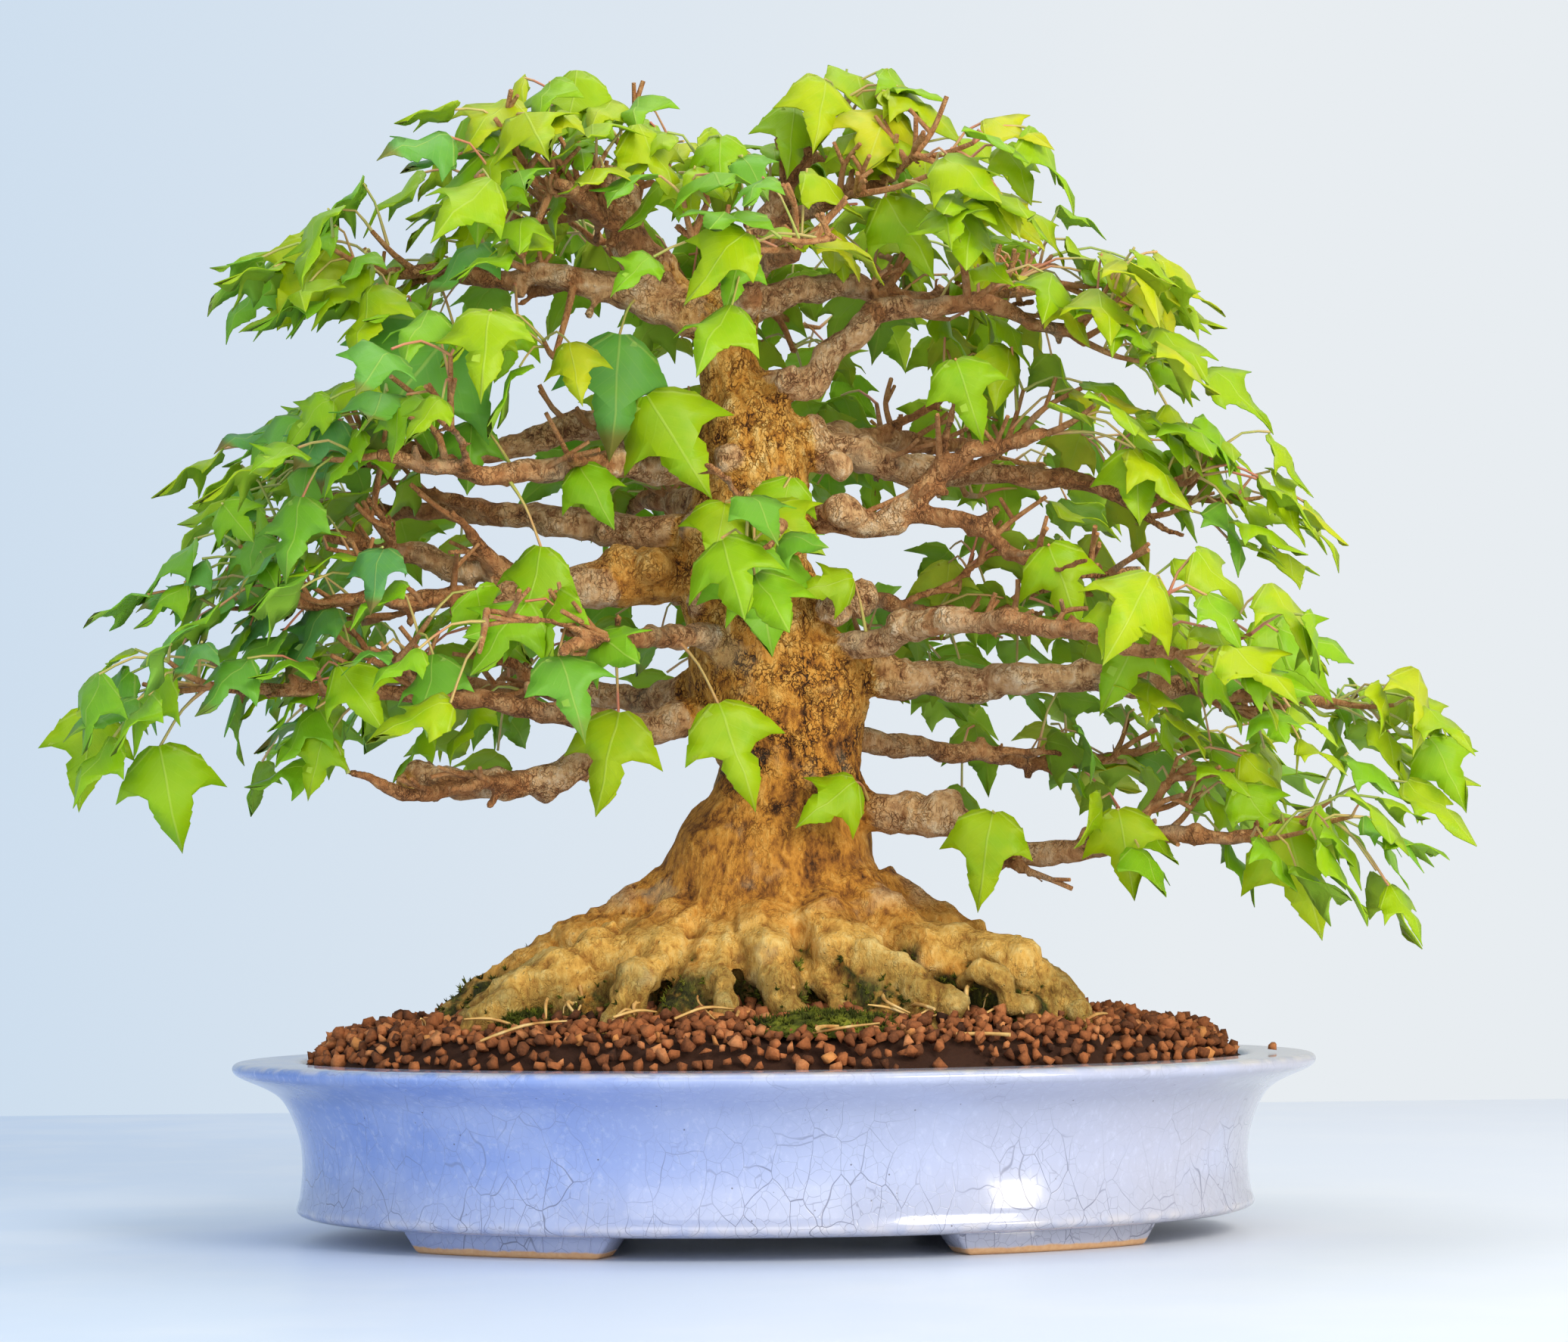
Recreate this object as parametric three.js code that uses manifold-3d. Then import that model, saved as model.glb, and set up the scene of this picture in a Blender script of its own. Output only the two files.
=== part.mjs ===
// A trident maple bonsai in a shallow oval glazed pot.
// Millimetres, +Z up. The origin is the middle of the pot on the surface it stands on;
// +X is the tree's right side and -Y is its front.
// Pieces: the pot and its four feet, a screen and a wire clip over each drain hole,
// the soil, the wood (trunk, surface roots and limbs, grown as one piece), moss, dropped leaf
// stalks, and this year's leafy shoots, each one a stem with its stalks and leaves.
import * as THREE from "three";
import { mergeVertices } from "three/addons/utils/BufferGeometryUtils.js";
import Module from "manifold-3d";

const wasm = await Module();
wasm.setup();
const { Manifold } = wasm;

// ---- driving dimensions ----
const gap = 0.35; // clearance between pieces that touch

const pot = {
  halfLength: 178, // middle to the outer edge of the lip, along X
  halfDepth: 132, // the same along Y
  height: 58.4,
  footHeight: 7,
  floor: 7, // thickness of the floor
  wall: 7.5, // thickness of the side
  lipWidth: 21.5, // flat top of the rim, outer edge to the opening
  lipDrop: 5, // thickness of the lip at its edge
  waistInset: 23, // how far the side stands in from the lip's edge
  beadHeight: 5.2, // the roll round the bottom of the side
  beadOut: 2,
};
const foot = { start: 35, end: 69, width: 15, inset: 9, ground: 0.86 }; // degrees round the oval
const drain = { radius: 10, offset: 48 }; // two round holes on the long axis
const screen = { thickness: 1.2, cells: 3, bar: 2.4 };
const clip = { wire: 1.5, bend: 0.7, leg: 13, tipDrop: 1.8, fromHole: 0.9 };

const soil = { shoulder: 8, crown: 17.5, edgeRise: 1.2 }; // the mound, above the rim

const leaf = { length: 33, width: 34, thickness: 0.7, stalk: 19, stalkRadius: 0.65, fold: 0.16, curl: 0.2 };
const shoot = { stem: 20, stemRadius: 1.15, pairs: [0.45, 0.95], spread: 52, sag: 34 };

// The tree stands in the soil, so its heights are all above the pot's rim.
// Trunk sections: height, centre x and y, half-width and half-depth.
const trunkRings = [
  [-12.5, -4, 0, 56, 46],
  [7.5, -4, 0, 58, 47],
  [23.5, -3, 0, 56, 46],
  [35.5, -2, 0, 50, 43],
  [43.5, -1, 0, 46, 41],
  [51.5, -1, 0, 42, 38],
  [60.5, -2.5, 0, 36.5, 34],
  [73, 0, 0, 32.5, 30],
  [84, 5, 0, 27, 26.5],
  [93.5, 6.5, 0, 23.8, 24.5],
  [103.5, 4.5, 0, 25.6, 25.5],
  [114.5, 2.7, 0, 29.3, 27.5],
  [126.5, 2, 0, 29.5, 27.5],
  [138.5, -2.5, 0, 25.5, 25.5],
  [152.5, -6, 0, 24, 23.5],
  [165.5, -9, 0, 22, 22],
  [179.5, -7, 0, 20, 20.5],
  [192.5, -5, 0, 17.8, 18.5],
  [206.5, -6, 0, 18, 17.5],
  [216.5, -8, 0, 15.2, 15],
  [224.5, -12, 0, 11.6, 12],
  [233.5, -14.5, 0, 10.2, 10.5],
  [241.5, -15, 0, 11.2, 11.2],
  [248.5, -15, 0, 8.5, 8.5],
];

// Surface roots, from the flare out to where they dive into the soil: x, y, z, radius.
const roots = [
  [[-30, -6, 49.5, 15], [-52, -8, 36.5, 14], [-74, -10, 26.5, 13], [-94, -12, 15.5, 11],
      [-107, -13, 3.5, 7]],
  [[-26, -20, 43.5, 14], [-46, -34, 28.5, 13], [-62, -46, 14.5, 11], [-72, -54, 0.5, 8]],
  [[-12, -26, 43.5, 11], [-22, -43, 28.5, 9.5], [-30, -57, 13.5, 7.5], [-34, -66, -0.5, 5.5]],
  [[-4, -27, 46.5, 12.5], [-3, -43, 33.5, 11], [0, -55, 19.5, 8.5], [4, -64, 3.5, 6]],
  [[10, -26, 46.5, 13], [19, -42, 34.5, 12], [29, -56, 20.5, 10], [38, -68, 2.5, 7]],
  [[24, -18, 49.5, 13], [44, -30, 36.5, 12], [64, -42, 23.5, 10], [84, -52, 9.5, 7], [94, -58, -1.5, 5]],
  [[30, -4, 49.5, 15], [52, -7, 36.5, 14], [72, -9, 27.5, 12], [87, -10, 16.5, 10], [98, -11, 1.5, 7]],
  [[22, 18, 47.5, 14], [44, 36, 32.5, 12], [64, 52, 16.5, 10], [76, 62, 0.5, 7]],
  [[-2, 26, 46.5, 14], [-4, 46, 31.5, 12], [-6, 64, 14.5, 9], [-6, 76, -0.5, 6]],
  [[-24, 16, 47.5, 14], [-46, 34, 32.5, 12], [-66, 50, 17.5, 10], [-80, 60, 1.5, 7]],
];

// Limbs: name, points (x, y, z, radius) from inside the trunk outwards, then how many side
// branches it carries. Every limb end and every side branch carries one leafy shoot.
const limbs = [
  ["right_low", [[18, -8, 82.5, 6.6], [50, -18, 78, 6], [75, -26, 68, 4.8], [92, -30, 66.5, 4],
      [130, -38, 69.5, 3], [164, -42, 73.5, 2]], 1],
  ["right_low_back", [[16, 12, 106.5, 4.8], [60, 45, 102.5, 3.6], [105, 80, 100.5, 2.6],
      [140, 98, 102.5, 1.8]], 0],
  ["right_main", [[22, 0, 129.5, 8.4], [45, -2, 123, 6.8], [90, -8, 122.5, 5.2], [118, -12, 122.5, 4.4],
      [150, -14, 118.5, 3.2], [181, -14, 114.5, 2]], 1],
  ["right_front", [[18, -12, 131.5, 5.4], [55, -45, 138.5, 4.2], [90, -78, 133.5, 3.1],
      [122, -102, 125.5, 2]], 1],
  ["right_thin", [[14, 10, 144.5, 3.4], [34, 22, 151, 3], [62, 46, 148.5, 2.4], [96, 78, 147.5, 1.8]], 0],
  ["right_forked", [[2, -2, 175.5, 5.8], [22, -6, 175.5, 5.2], [36, -9, 173.5, 4.8],
      [48, -11, 183.5, 4.1], [66, -14, 196.5, 3.2], [92, -20, 203.5, 2]], 0],
  ["right_hanging", [[44, -10, 178.5, 3.6], [67, -22, 172.5, 3], [82, -30, 161.5, 2.4],
      [104, -40, 155.5, 1.8]], 0],
  ["right_upper", [[6, 0, 199, 7.2], [28, 2, 200.5, 6], [44, 4, 194.5, 5.4], [74, 10, 193.5, 4],
      [108, 16, 189.5, 3], [144, 20, 184.5, 2]], 1],
  ["right_high", [[-4, -4, 220.5, 6.4], [14, -6, 221.5, 5.6], [22, -7, 233.5, 5], [42, -10, 247.5, 4.2],
      [75, -12, 245.5, 3], [108, -12, 233.5, 2]], 1],
  ["right_top", [[-12, 2, 246.5, 6.4], [5, 4, 251.5, 5.4], [23, 8, 256.5, 4.6], [48, 14, 250.5, 3.6],
      [76, 20, 254.5, 2.8], [98, 24, 259.5, 1.9]], 1],
  ["leader", [[-15, 0, 241.5, 7.4], [-9, 0, 261.5, 5.8], [-1, 1, 275.5, 4.6], [8, 2, 289.5, 3.4],
      [16, 4, 305.5, 2]], 1],
  ["leader_right", [[-4, 0, 269.5, 3.8], [18, -16, 279.5, 3], [42, -28, 287.5, 2]], 0],
  ["cut_leader", [[-18, 0, 242.5, 9.4], [-33, -2, 251.5, 8.6], [-41, -3, 265.5, 7.4],
      [-48, -3, 281.5, 6.6], [-55, -4, 294.5, 6]], -1],
  ["cut_leader_back", [[-45, -2, 274.5, 3.8], [-62, 14, 283.5, 2.8], [-78, 28, 287.5, 1.9]], 0],
  ["cut_leader_front", [[-42, -4, 267.5, 3.6], [-58, -28, 277.5, 2.7], [-70, -46, 280.5, 1.9]], 0],
  ["left_top", [[-18, -2, 241.5, 8.4], [-33, -6, 248, 7.4], [-58, -9, 254.5, 5], [-78, -10, 258, 4],
      [-102, -12, 256.5, 2.9], [-124, -14, 259.5, 1.9]], 1],
  ["back_top", [[-12, 6, 239.5, 6.2], [-9, 32, 249.5, 4.6], [-2, 62, 258.5, 3.3], [6, 88, 260.5, 2]], 0],
  ["front_top", [[-11, -6, 237.5, 5.2], [-5, -28, 247.5, 4], [4, -52, 256.5, 3], [10, -74, 257.5, 1.9]], 0],
  ["left_upper", [[-18, 2, 199.5, 6.8], [-42, 2, 203.5, 5.6], [-62, 1, 208.5, 5], [-86, -3, 201.5, 4.2],
      [-106, -6, 197.5, 3.2], [-132, -10, 201.5, 2]], 0],
  ["left_upper_front", [[-16, -6, 191.5, 6.2], [-45, -18, 193.5, 4.8], [-75, -36, 189.5, 3.9],
      [-102, -54, 188.5, 2.9], [-126, -68, 192.5, 1.9]], 0],
  ["left_middle", [[-22, 4, 171.5, 7.2], [-50, 6, 174.5, 6.2], [-66, 8, 178, 5.4], [-92, 14, 179.5, 4.3],
      [-126, 24, 184.5, 3], [-152, 32, 188.5, 1.9]], 1],
  ["left_main", [[-20, -2, 157.5, 9.4], [-42, -5, 158.5, 9.4], [-54, -7, 157.5, 8.6],
      [-67, -8, 154.5, 5.8], [-92, -8, 158, 5], [-122, -8, 164.5, 3.8], [-150, -9, 173.5, 2]], 1],
  ["left_main_lower", [[-56, -9, 154.5, 5.2], [-86, -15, 152.5, 4], [-120, -23, 149.5, 3],
      [-158, -32, 148.5, 1.9]], 0],
  ["left_low_back", [[-20, 6, 121.5, 6], [-43, 18, 118.5, 5], [-80, 40, 122.5, 3.9],
      [-116, 60, 128.5, 2.9], [-148, 74, 127.5, 1.9]], 0],
  ["left_low", [[-18, -4, 113.5, 6.8], [-45, -14, 104.5, 5.8], [-70, -22, 92.5, 5.4], [-98, -28, 90, 5],
      [-122, -32, 88.5, 4.2]], -1],
  ["left_low_outer", [[-38, -11, 107.5, 4.6], [-74, -22, 113.5, 3.8], [-118, -34, 117.5, 2.8],
      [-180, -44, 119.5, 1.9]], 2],
  ["back_low", [[0, 18, 136.5, 7.4], [6, 46, 141.5, 5.6], [13, 76, 145.5, 4.2], [19, 98, 142.5, 3],
      [22, 116, 139.5, 2]], 1],
  ["back_middle", [[-14, 14, 181.5, 6.4], [-26, 46, 187.5, 4.8], [-40, 76, 191.5, 3.4],
      [-49, 98, 190.5, 2]], 1],
  ["back_right", [[2, 14, 203.5, 6], [30, 44, 209.5, 4.4], [60, 76, 211.5, 3.2], [84, 98, 208.5, 2]], 0],
  ["front_small", [[-4, -16, 167.5, 3.4], [1, -36, 170.5, 2.6], [4, -52, 167.5, 1.8]], 0],
  ["front_left", [[-16, -14, 137.5, 4.8], [-34, -42, 136.5, 3.7], [-54, -76, 132.5, 2.7],
      [-66, -104, 127.5, 1.9]], 0],
];
const sideBranch = { length: 24, radius: 2.1, tip: 1.6, spread: 48, lift: 12 };

// Moss cushions on the soil against the roots: x, y, radius, height.
const mossPatches = [
  ["moss_left", -84, -44, 26, 7],
  ["moss_front", 14, -78, 30, 6],
  ["moss_right", 84, -34, 26, 8],
];
// Dropped leaf stalks lying on the soil: x, y, heading in degrees, length.
const droppedStalks = [
  ["dropped_stalk_front", 14, -100, 62, 14],
  ["dropped_stalk_right", 62, -92, -18, 17],
];

// ---- small tools ----
const material = (color, roughness) => new THREE.MeshStandardMaterial({ color, roughness, metalness: 0 });
const looks = {
  glaze: material(0xa9b9e4, 0.12),
  clay: material(0x6e4a35, 0.95),
  wood: material(0xb08a5a, 0.85),
  leaf: material(0x7fb52b, 0.5),
  moss: material(0x4d5a1e, 0.95),
  stalk: material(0xd9a25a, 0.7),
  mesh: material(0x23262a, 0.6),
  wire: new THREE.MeshStandardMaterial({ color: 0x8c8f92, roughness: 0.4, metalness: 0.9 }),
};

// A three.js geometry as a closed manifold-3d solid.
function solid(geometry) {
  const bare = geometry.clone();
  bare.deleteAttribute("normal");
  bare.deleteAttribute("uv");
  const merged = mergeVertices(bare, 1e-4);
  return new Manifold(
    new wasm.Mesh({
      numProp: 3,
      vertProperties: new Float32Array(merged.attributes.position.array),
      triVerts: new Uint32Array(merged.index.array),
    }),
  );
}

// A manifold-3d solid as a three.js mesh.
function mesh(name, body, look) {
  const { vertProperties, triVerts } = body.getMesh();
  const geometry = new THREE.BufferGeometry()
    .setAttribute("position", new THREE.BufferAttribute(new Float32Array(vertProperties), 3))
    .setIndex(new THREE.BufferAttribute(new Uint32Array(triVerts), 1));
  geometry.computeVertexNormals();
  const made = new THREE.Mesh(geometry, look);
  made.name = name;
  return made;
}

const union = (bodies) => bodies.reduce((whole, body) => whole.add(body));
const largest = (body) => body.decompose().sort((a, b) => b.volume() - a.volume())[0];

// Seeded random numbers, so that every build is the same tree.
function dice(seed) {
  let state = seed;
  return (low, high) => {
    state = (state * 1664525 + 1013904223) >>> 0;
    return low + ((high - low) * state) / 2 ** 32;
  };
}

// Moves every vertex of a geometry through a function of its position.
function reshape(geometry, move) {
  const places = geometry.attributes.position;
  const point = new THREE.Vector3();
  for (let i = 0; i < places.count; i++) {
    point.fromBufferAttribute(places, i);
    const moved = move(point);
    places.setXYZ(i, moved.x, moved.y, moved.z);
  }
  return geometry;
}

// A round tapered branch through points of x, y, z and radius, made by bending a cylinder.
function branch(points, sides, grow = 0) {
  const curve = new THREE.CatmullRomCurve3(points.map(([x, y, z]) => new THREE.Vector3(x, y, z)));
  const spans = points.length - 1;
  const { normals, binormals } = curve.computeFrenetFrames(spans);
  // Frames are spaced by length, and rings too, so the radius is read at the same place.
  const radiusAt = (u) => {
    const t = curve.getUtoTmapping(u) * spans;
    const i = Math.min(Math.floor(t), spans - 1);
    return THREE.MathUtils.lerp(points[i][3], points[i + 1][3], t - i) + grow;
  };
  return reshape(new THREE.CylinderGeometry(1, 1, 1, sides, spans), (p) => {
    const ring = Math.round((p.y + 0.5) * spans);
    const radius = radiusAt(ring / spans);
    return curve
      .getPointAt(ring / spans)
      .addScaledVector(normals[ring], p.x * radius)
      .addScaledVector(binormals[ring], -p.z * radius);
  });
}

// ---- the pot ----
const depthLoss = pot.halfLength - pot.halfDepth; // the oval is this much shorter along Y
const ovalFrom = depthLoss * 1.6; // inside this radius a section shrinks evenly to the middle
function ovalDepth(r) {
  const edge = ovalFrom - depthLoss;
  return r > ovalFrom ? r - depthLoss : (r * edge) / ovalFrom;
}
function ovalSolid(profile, segments) {
  const points = profile.map(([r, z]) => new THREE.Vector2(r, z));
  const turned = new THREE.LatheGeometry(points, segments);
  return solid(
    reshape(turned, (p) => {
      const r = Math.hypot(p.x, p.z);
      const angle = Math.atan2(-p.z, p.x);
      return new THREE.Vector3(r * Math.cos(angle), ovalDepth(r) * Math.sin(angle), p.y);
    }),
  );
}

const ovalSegments = 44; // the same for the pot and the soil, so that their facets line up
const waist = pot.halfLength - pot.waistInset;
const opening = pot.halfLength - pot.lipWidth;
const innerWall = waist - pot.wall;
const underside = pot.footHeight;
const floorTop = underside + pot.floor;
const lipUnder = pot.height - pot.lipDrop;

// The inside face of the pot from the floor to the opening, moved in by a clearance.
const insideFace = (clear) => [
  [innerWall - 6 - clear, floorTop + clear],
  [innerWall - clear, floorTop + 7],
  [innerWall + 1 - clear, lipUnder - 6],
  [opening - 1.5 - clear, pot.height - 2.5],
];

function makePot() {
  const bead = underside + pot.beadHeight;
  const bowl = ovalSolid(
    [
      [0, underside],
      [waist - 5, underside],
      [waist + pot.beadOut - 0.8, underside + 1],
      [waist + pot.beadOut, bead - 1.6],
      [waist + 0.6, bead + 2.6],
      [waist, bead + 8],
      [waist + 1.2, THREE.MathUtils.lerp(bead, lipUnder, 0.55)],
      [waist + 4.4, THREE.MathUtils.lerp(bead, lipUnder, 0.75)],
      [waist + 11, lipUnder - 4.6],
      [pot.halfLength - 4.5, lipUnder - 1],
      [pot.halfLength - 0.8, lipUnder + 0.8],
      [pot.halfLength, lipUnder + 2.4],
      [pot.halfLength - 0.9, pot.height - 0.7],
      [pot.halfLength - 3.4, pot.height],
      [opening, pot.height],
      ...insideFace(0).reverse(),
      [0, floorTop],
    ],
    ovalSegments,
  );
  // The lathe's profile runs up the outside and down the inside, so its faces point out.
  return bowl.subtract(drainCutter(-1)).subtract(drainCutter(1));
}

// One foot: a slab of clay fixed under the edge of the pot, narrower at the ground.
function makeFoot(sx, sy) {
  const outer = waist - foot.inset;
  const plan = new THREE.Shape();
  const place = (r, degrees) => {
    const a = THREE.MathUtils.degToRad(degrees);
    return [r * Math.cos(a), ovalDepth(r) * Math.sin(a)];
  };
  const steps = 6;
  for (let i = 0; i <= steps; i++) {
    const [x, y] = place(outer, THREE.MathUtils.lerp(foot.start, foot.end, i / steps));
    if (i === 0) plan.moveTo(x, y);
    else plan.lineTo(x, y);
  }
  for (let i = steps; i >= 0; i--) {
    plan.lineTo(...place(outer - foot.width, THREE.MathUtils.lerp(foot.start, foot.end, i / steps)));
  }
  const [x, y] = place(outer - foot.width / 2, (foot.start + foot.end) / 2);
  const middle = new THREE.Vector3(x, y, 0);
  const band = new THREE.ExtrudeGeometry(plan, { depth: pot.footHeight - gap, bevelEnabled: false });
  // what it stands on is the same outline, drawn in evenly to its middle
  reshape(band, (p) => (p.z > 0 ? p : middle.clone().lerp(p, foot.ground)));
  return solid(band).scale([sx, sy, 1]);
}

function drainCutter(side) {
  const hole = new THREE.CylinderGeometry(drain.radius, drain.radius, pot.floor * 3, 20);
  hole.rotateX(Math.PI / 2).translate(side * drain.offset, 0, underside + pot.floor / 2);
  return solid(hole);
}

// ---- screens and clips over the drain holes ----
const clipReach = drain.radius - clip.fromHole - clip.wire / 2; // where the clip's legs go down
const cellPitch = 2 * (clipReach - clip.wire / 2 - gap) - screen.bar; // its bars lie inside the legs
const screenSide = screen.cells * cellPitch;

function makeScreen(side) {
  const box = (width, thickness, x, y) =>
    solid(new THREE.BoxGeometry(width, width, thickness).translate(x, y, 0));
  let sheet = box(screenSide, screen.thickness, 0, 0);
  for (let i = 0; i < screen.cells; i++) {
    for (let j = 0; j < screen.cells; j++) {
      const [x, y] = [i, j].map((k) => (k + 0.5) * cellPitch - screenSide / 2);
      sheet = sheet.subtract(box(cellPitch - screen.bar, screen.thickness * 3, x, y));
    }
  }
  return sheet.translate([side * drain.offset, 0, floorTop + gap + screen.thickness / 2]);
}

// A staple of wire: over the screen, down through its cells and the hole, and the legs bent out.
function makeClip(side) {
  const r = clip.wire / 2;
  const reach = clipReach;
  const top = floorTop + gap + screen.thickness + gap + r;
  const low = underside - gap - r;
  const half = [
    [0, top],
    [reach - clip.bend, top],
    [reach, top - clip.bend],
    [reach, low + clip.bend],
    [reach + clip.bend, low],
    [reach + clip.leg, low - clip.tipDrop],
  ];
  const path = [...half.slice(1).reverse().map(([along, z]) => [-along, z]), ...half];
  const corners = path.map(([along, z]) => new THREE.Vector3(side * drain.offset + along, 0, z));
  const lengths = corners.slice(1).map((corner, i) => {
    // each straight length runs a little past its ends, so that the lengths join
    const past = corner.clone().sub(corners[i]).setLength(r / 2);
    const ends = [corners[i].clone().sub(past), corner.clone().add(past)];
    return solid(branch(ends.map((end) => [...end.toArray(), r]), 5));
  });
  return union(lengths);
}

// ---- the wood ----
function makeTrunk(grow = 0) {
  const rings = trunkRings.length - 1;
  return solid(
    reshape(new THREE.CylinderGeometry(1, 1, 1, 16, rings), (p) => {
      const [z, cx, cy, rx, ry] = trunkRings[Math.round((p.y + 0.5) * rings)];
      return new THREE.Vector3(cx + p.x * (rx + grow), cy - p.z * (ry + grow), pot.height + z);
    }),
  );
}

// Points that are given above the rim, in the pot's own heights.
const aboveRim = (points) => points.map(([x, y, z, r]) => [x, y, pot.height + z, r]);

const makeRoots = (grow = 0) => roots.map((points) => solid(branch(aboveRim(points), 8, grow)));

// Where a limb's side branches leave it, and which way they go.
function sideBranches([, points, count], random) {
  if (count < 1) return [];
  const line = aboveRim(points).map(([x, y, z]) => new THREE.Vector3(x, y, z));
  const curve = new THREE.CatmullRomCurve3(line);
  return Array.from({ length: count }, (_, i) => {
    const u = 0.86 - (0.26 * i) / count;
    const start = curve.getPointAt(u - 0.12 * i);
    const heading = curve.getTangentAt(u);
    const turn = THREE.MathUtils.degToRad(sideBranch.spread) * (i % 2 ? -1 : 1) * Math.sign(start.y + 0.1);
    heading.setZ(0).normalize().applyAxisAngle(new THREE.Vector3(0, 0, 1), -turn);
    heading.z = Math.tan(THREE.MathUtils.degToRad(sideBranch.lift));
    heading.normalize();
    const end = start.clone().addScaledVector(heading, sideBranch.length * random(0.9, 1.2));
    return { start, end, heading };
  });
}

const limbRandom = dice(11);
const forks = new Map(limbs.map((limb) => [limb[0], sideBranches(limb, limbRandom)]));

function makeWood() {
  const parts = [makeTrunk(), ...makeRoots()];
  for (const [name, points] of limbs) {
    parts.push(solid(branch(aboveRim(points), 6)));
    for (const { start, end } of forks.get(name)) {
      const line = [
        [...start.toArray(), sideBranch.radius],
        [...end.toArray(), sideBranch.tip],
      ];
      parts.push(solid(branch(line, 4)));
    }
  }
  return largest(union(parts));
}

// ---- soil and moss ----
const soilTop = (lift) => [
  [opening - 6, pot.height + soil.edgeRise + lift],
  [opening - 14, pot.height + soil.shoulder + lift],
  [opening - 36, pot.height + soil.shoulder * 1.5 + lift],
  [opening - 70, pot.height + soil.crown * 0.92 + lift],
  [0, pot.height + soil.crown + lift],
];
const makeMound = (lift) =>
  ovalSolid(
    [[0, floorTop + gap], ...insideFace(gap), [opening - 2.5, pot.height - 0.8], ...soilTop(lift)],
    ovalSegments,
  );

function makeSoil(roundRoots) {
  let body = makeMound(0);
  const roomHeight = screen.thickness + clip.wire + 3 * gap;
  for (const side of [-1, 1]) {
    // room for the screen and the clip on the floor
    const room = new THREE.BoxGeometry(screenSide + 2 * gap, screenSide + 2 * gap, roomHeight * 2);
    room.translate(side * drain.offset, 0, floorTop);
    body = body.subtract(solid(room));
  }
  return largest(body.subtract(roundRoots));
}

function makeMoss([, x, y, radius, height], keepOff) {
  const cushion = new THREE.SphereGeometry(1, 12, 7);
  cushion.rotateX(Math.PI / 2).scale(radius, radius * 0.62, height * 1.6);
  cushion.rotateZ(Math.atan2(y, x) + Math.PI / 2);
  cushion.translate(x, y, pot.height + soil.shoulder * 0.9);
  return largest(keepOff.reduce((body, other) => body.subtract(other), solid(cushion)));
}

function makeDroppedStalk([, x, y, heading, length], ground) {
  const r = 0.75;
  const stalk = new THREE.CylinderGeometry(r, r * 0.7, length, 6);
  stalk.rotateZ(Math.PI / 2).rotateZ(THREE.MathUtils.degToRad(heading));
  stalk.translate(x, y, 0);
  const rod = solid(stalk);
  // it comes down until it meets the soil
  let z = pot.height + soil.crown + 6;
  const drop = 0.2;
  while (z > pot.height && ground.intersect(rod.translate([0, 0, z - drop])).isEmpty()) z -= drop;
  return rod.translate([0, 0, z]);
}

// ---- leaves and shoots ----
// One leaf lying along +Y: its stalk runs up to the origin and the three-lobed blade goes on
// from there, hanging from the stalk's end by an angle.
function leafGeometry(size, hang, thickness) {
  const [length, half, stalk] = [leaf.length * size, (leaf.width * size) / 2, leaf.stalk * size];
  const r = leaf.stalkRadius;
  const rightSide = [
    [r, -stalk],
    [r, 0],
    [half, length * 0.5],
    [half * 0.38, length * 0.46],
  ];
  const leftSide = rightSide.map(([x, y]) => [-x, y]).reverse();
  const outline = [...rightSide, [0, length], ...leftSide];
  const shape = new THREE.Shape(outline.map(([x, y]) => new THREE.Vector2(x, y)));
  const flat = new THREE.ExtrudeGeometry(shape, { depth: thickness, bevelEnabled: false });
  const across = new THREE.Vector3(1, 0, 0);
  return reshape(flat.translate(0, 0, -thickness / 2), (p) => {
    if (p.y <= 0) return p;
    p.z -= leaf.fold * Math.abs(p.x) + (leaf.curl * p.y * p.y) / length;
    return p.applyAxisAngle(across, -hang);
  });
}

// The same leaf growing from a point on a stem: away is the way its stalk goes.
function makeLeaf(from, away, hang, size, thickness) {
  const side = new THREE.Vector3().crossVectors(away, new THREE.Vector3(0, 0, 1)).normalize();
  const face = new THREE.Vector3().crossVectors(side, away);
  const base = from.clone().addScaledVector(away, leaf.stalk * size);
  const frame = new THREE.Matrix4().makeBasis(side, away, face).setPosition(base);
  return solid(leafGeometry(size, hang, thickness).applyMatrix4(frame));
}

// A leafy shoot from a limb end. A leaf that would touch what is there already is turned, and
// left out if no place is found.
function makeShoot(base, heading, taken, random) {
  const up = new THREE.Vector3(0, 0, 1);
  const start = base.clone().addScaledVector(heading, gap);
  const tip = start.clone().addScaledVector(heading, shoot.stem);
  const stem = solid(
    branch([[...start.toArray(), shoot.stemRadius], [...tip.toArray(), shoot.stemRadius * 0.7]], 5),
  );
  if (taken.some((other) => touches(stem, other))) return null;
  const parts = [stem];
  const places = shoot.pairs.flatMap((share) => [[share, -1], [share, 1]]).concat([[0.98, 0]]);
  for (const [share, hand] of places) {
    const from = start.clone().lerp(tip, share);
    for (let tries = 0; tries < 9; tries++) {
      const turn = THREE.MathUtils.degToRad(hand * shoot.spread + random(-16, 16) * (1 + tries / 3));
      const away = heading.clone().setZ(0).normalize().applyAxisAngle(up, turn);
      away.z = Math.tan(THREE.MathUtils.degToRad(random(-8, 30)));
      away.normalize();
      const hang = THREE.MathUtils.degToRad(shoot.sag + random(-16, 22));
      const size = random(0.78, 1.08);
      const room = makeLeaf(from, away, hang, size, leaf.thickness + 2 * gap);
      if (parts.slice(1).some((other) => touches(room, other))) continue;
      if (taken.some((other) => touches(room, other))) continue;
      parts.push(makeLeaf(from, away, hang, size, leaf.thickness));
      break;
    }
  }
  return parts.length > 2 ? union(parts) : null;
}

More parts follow.
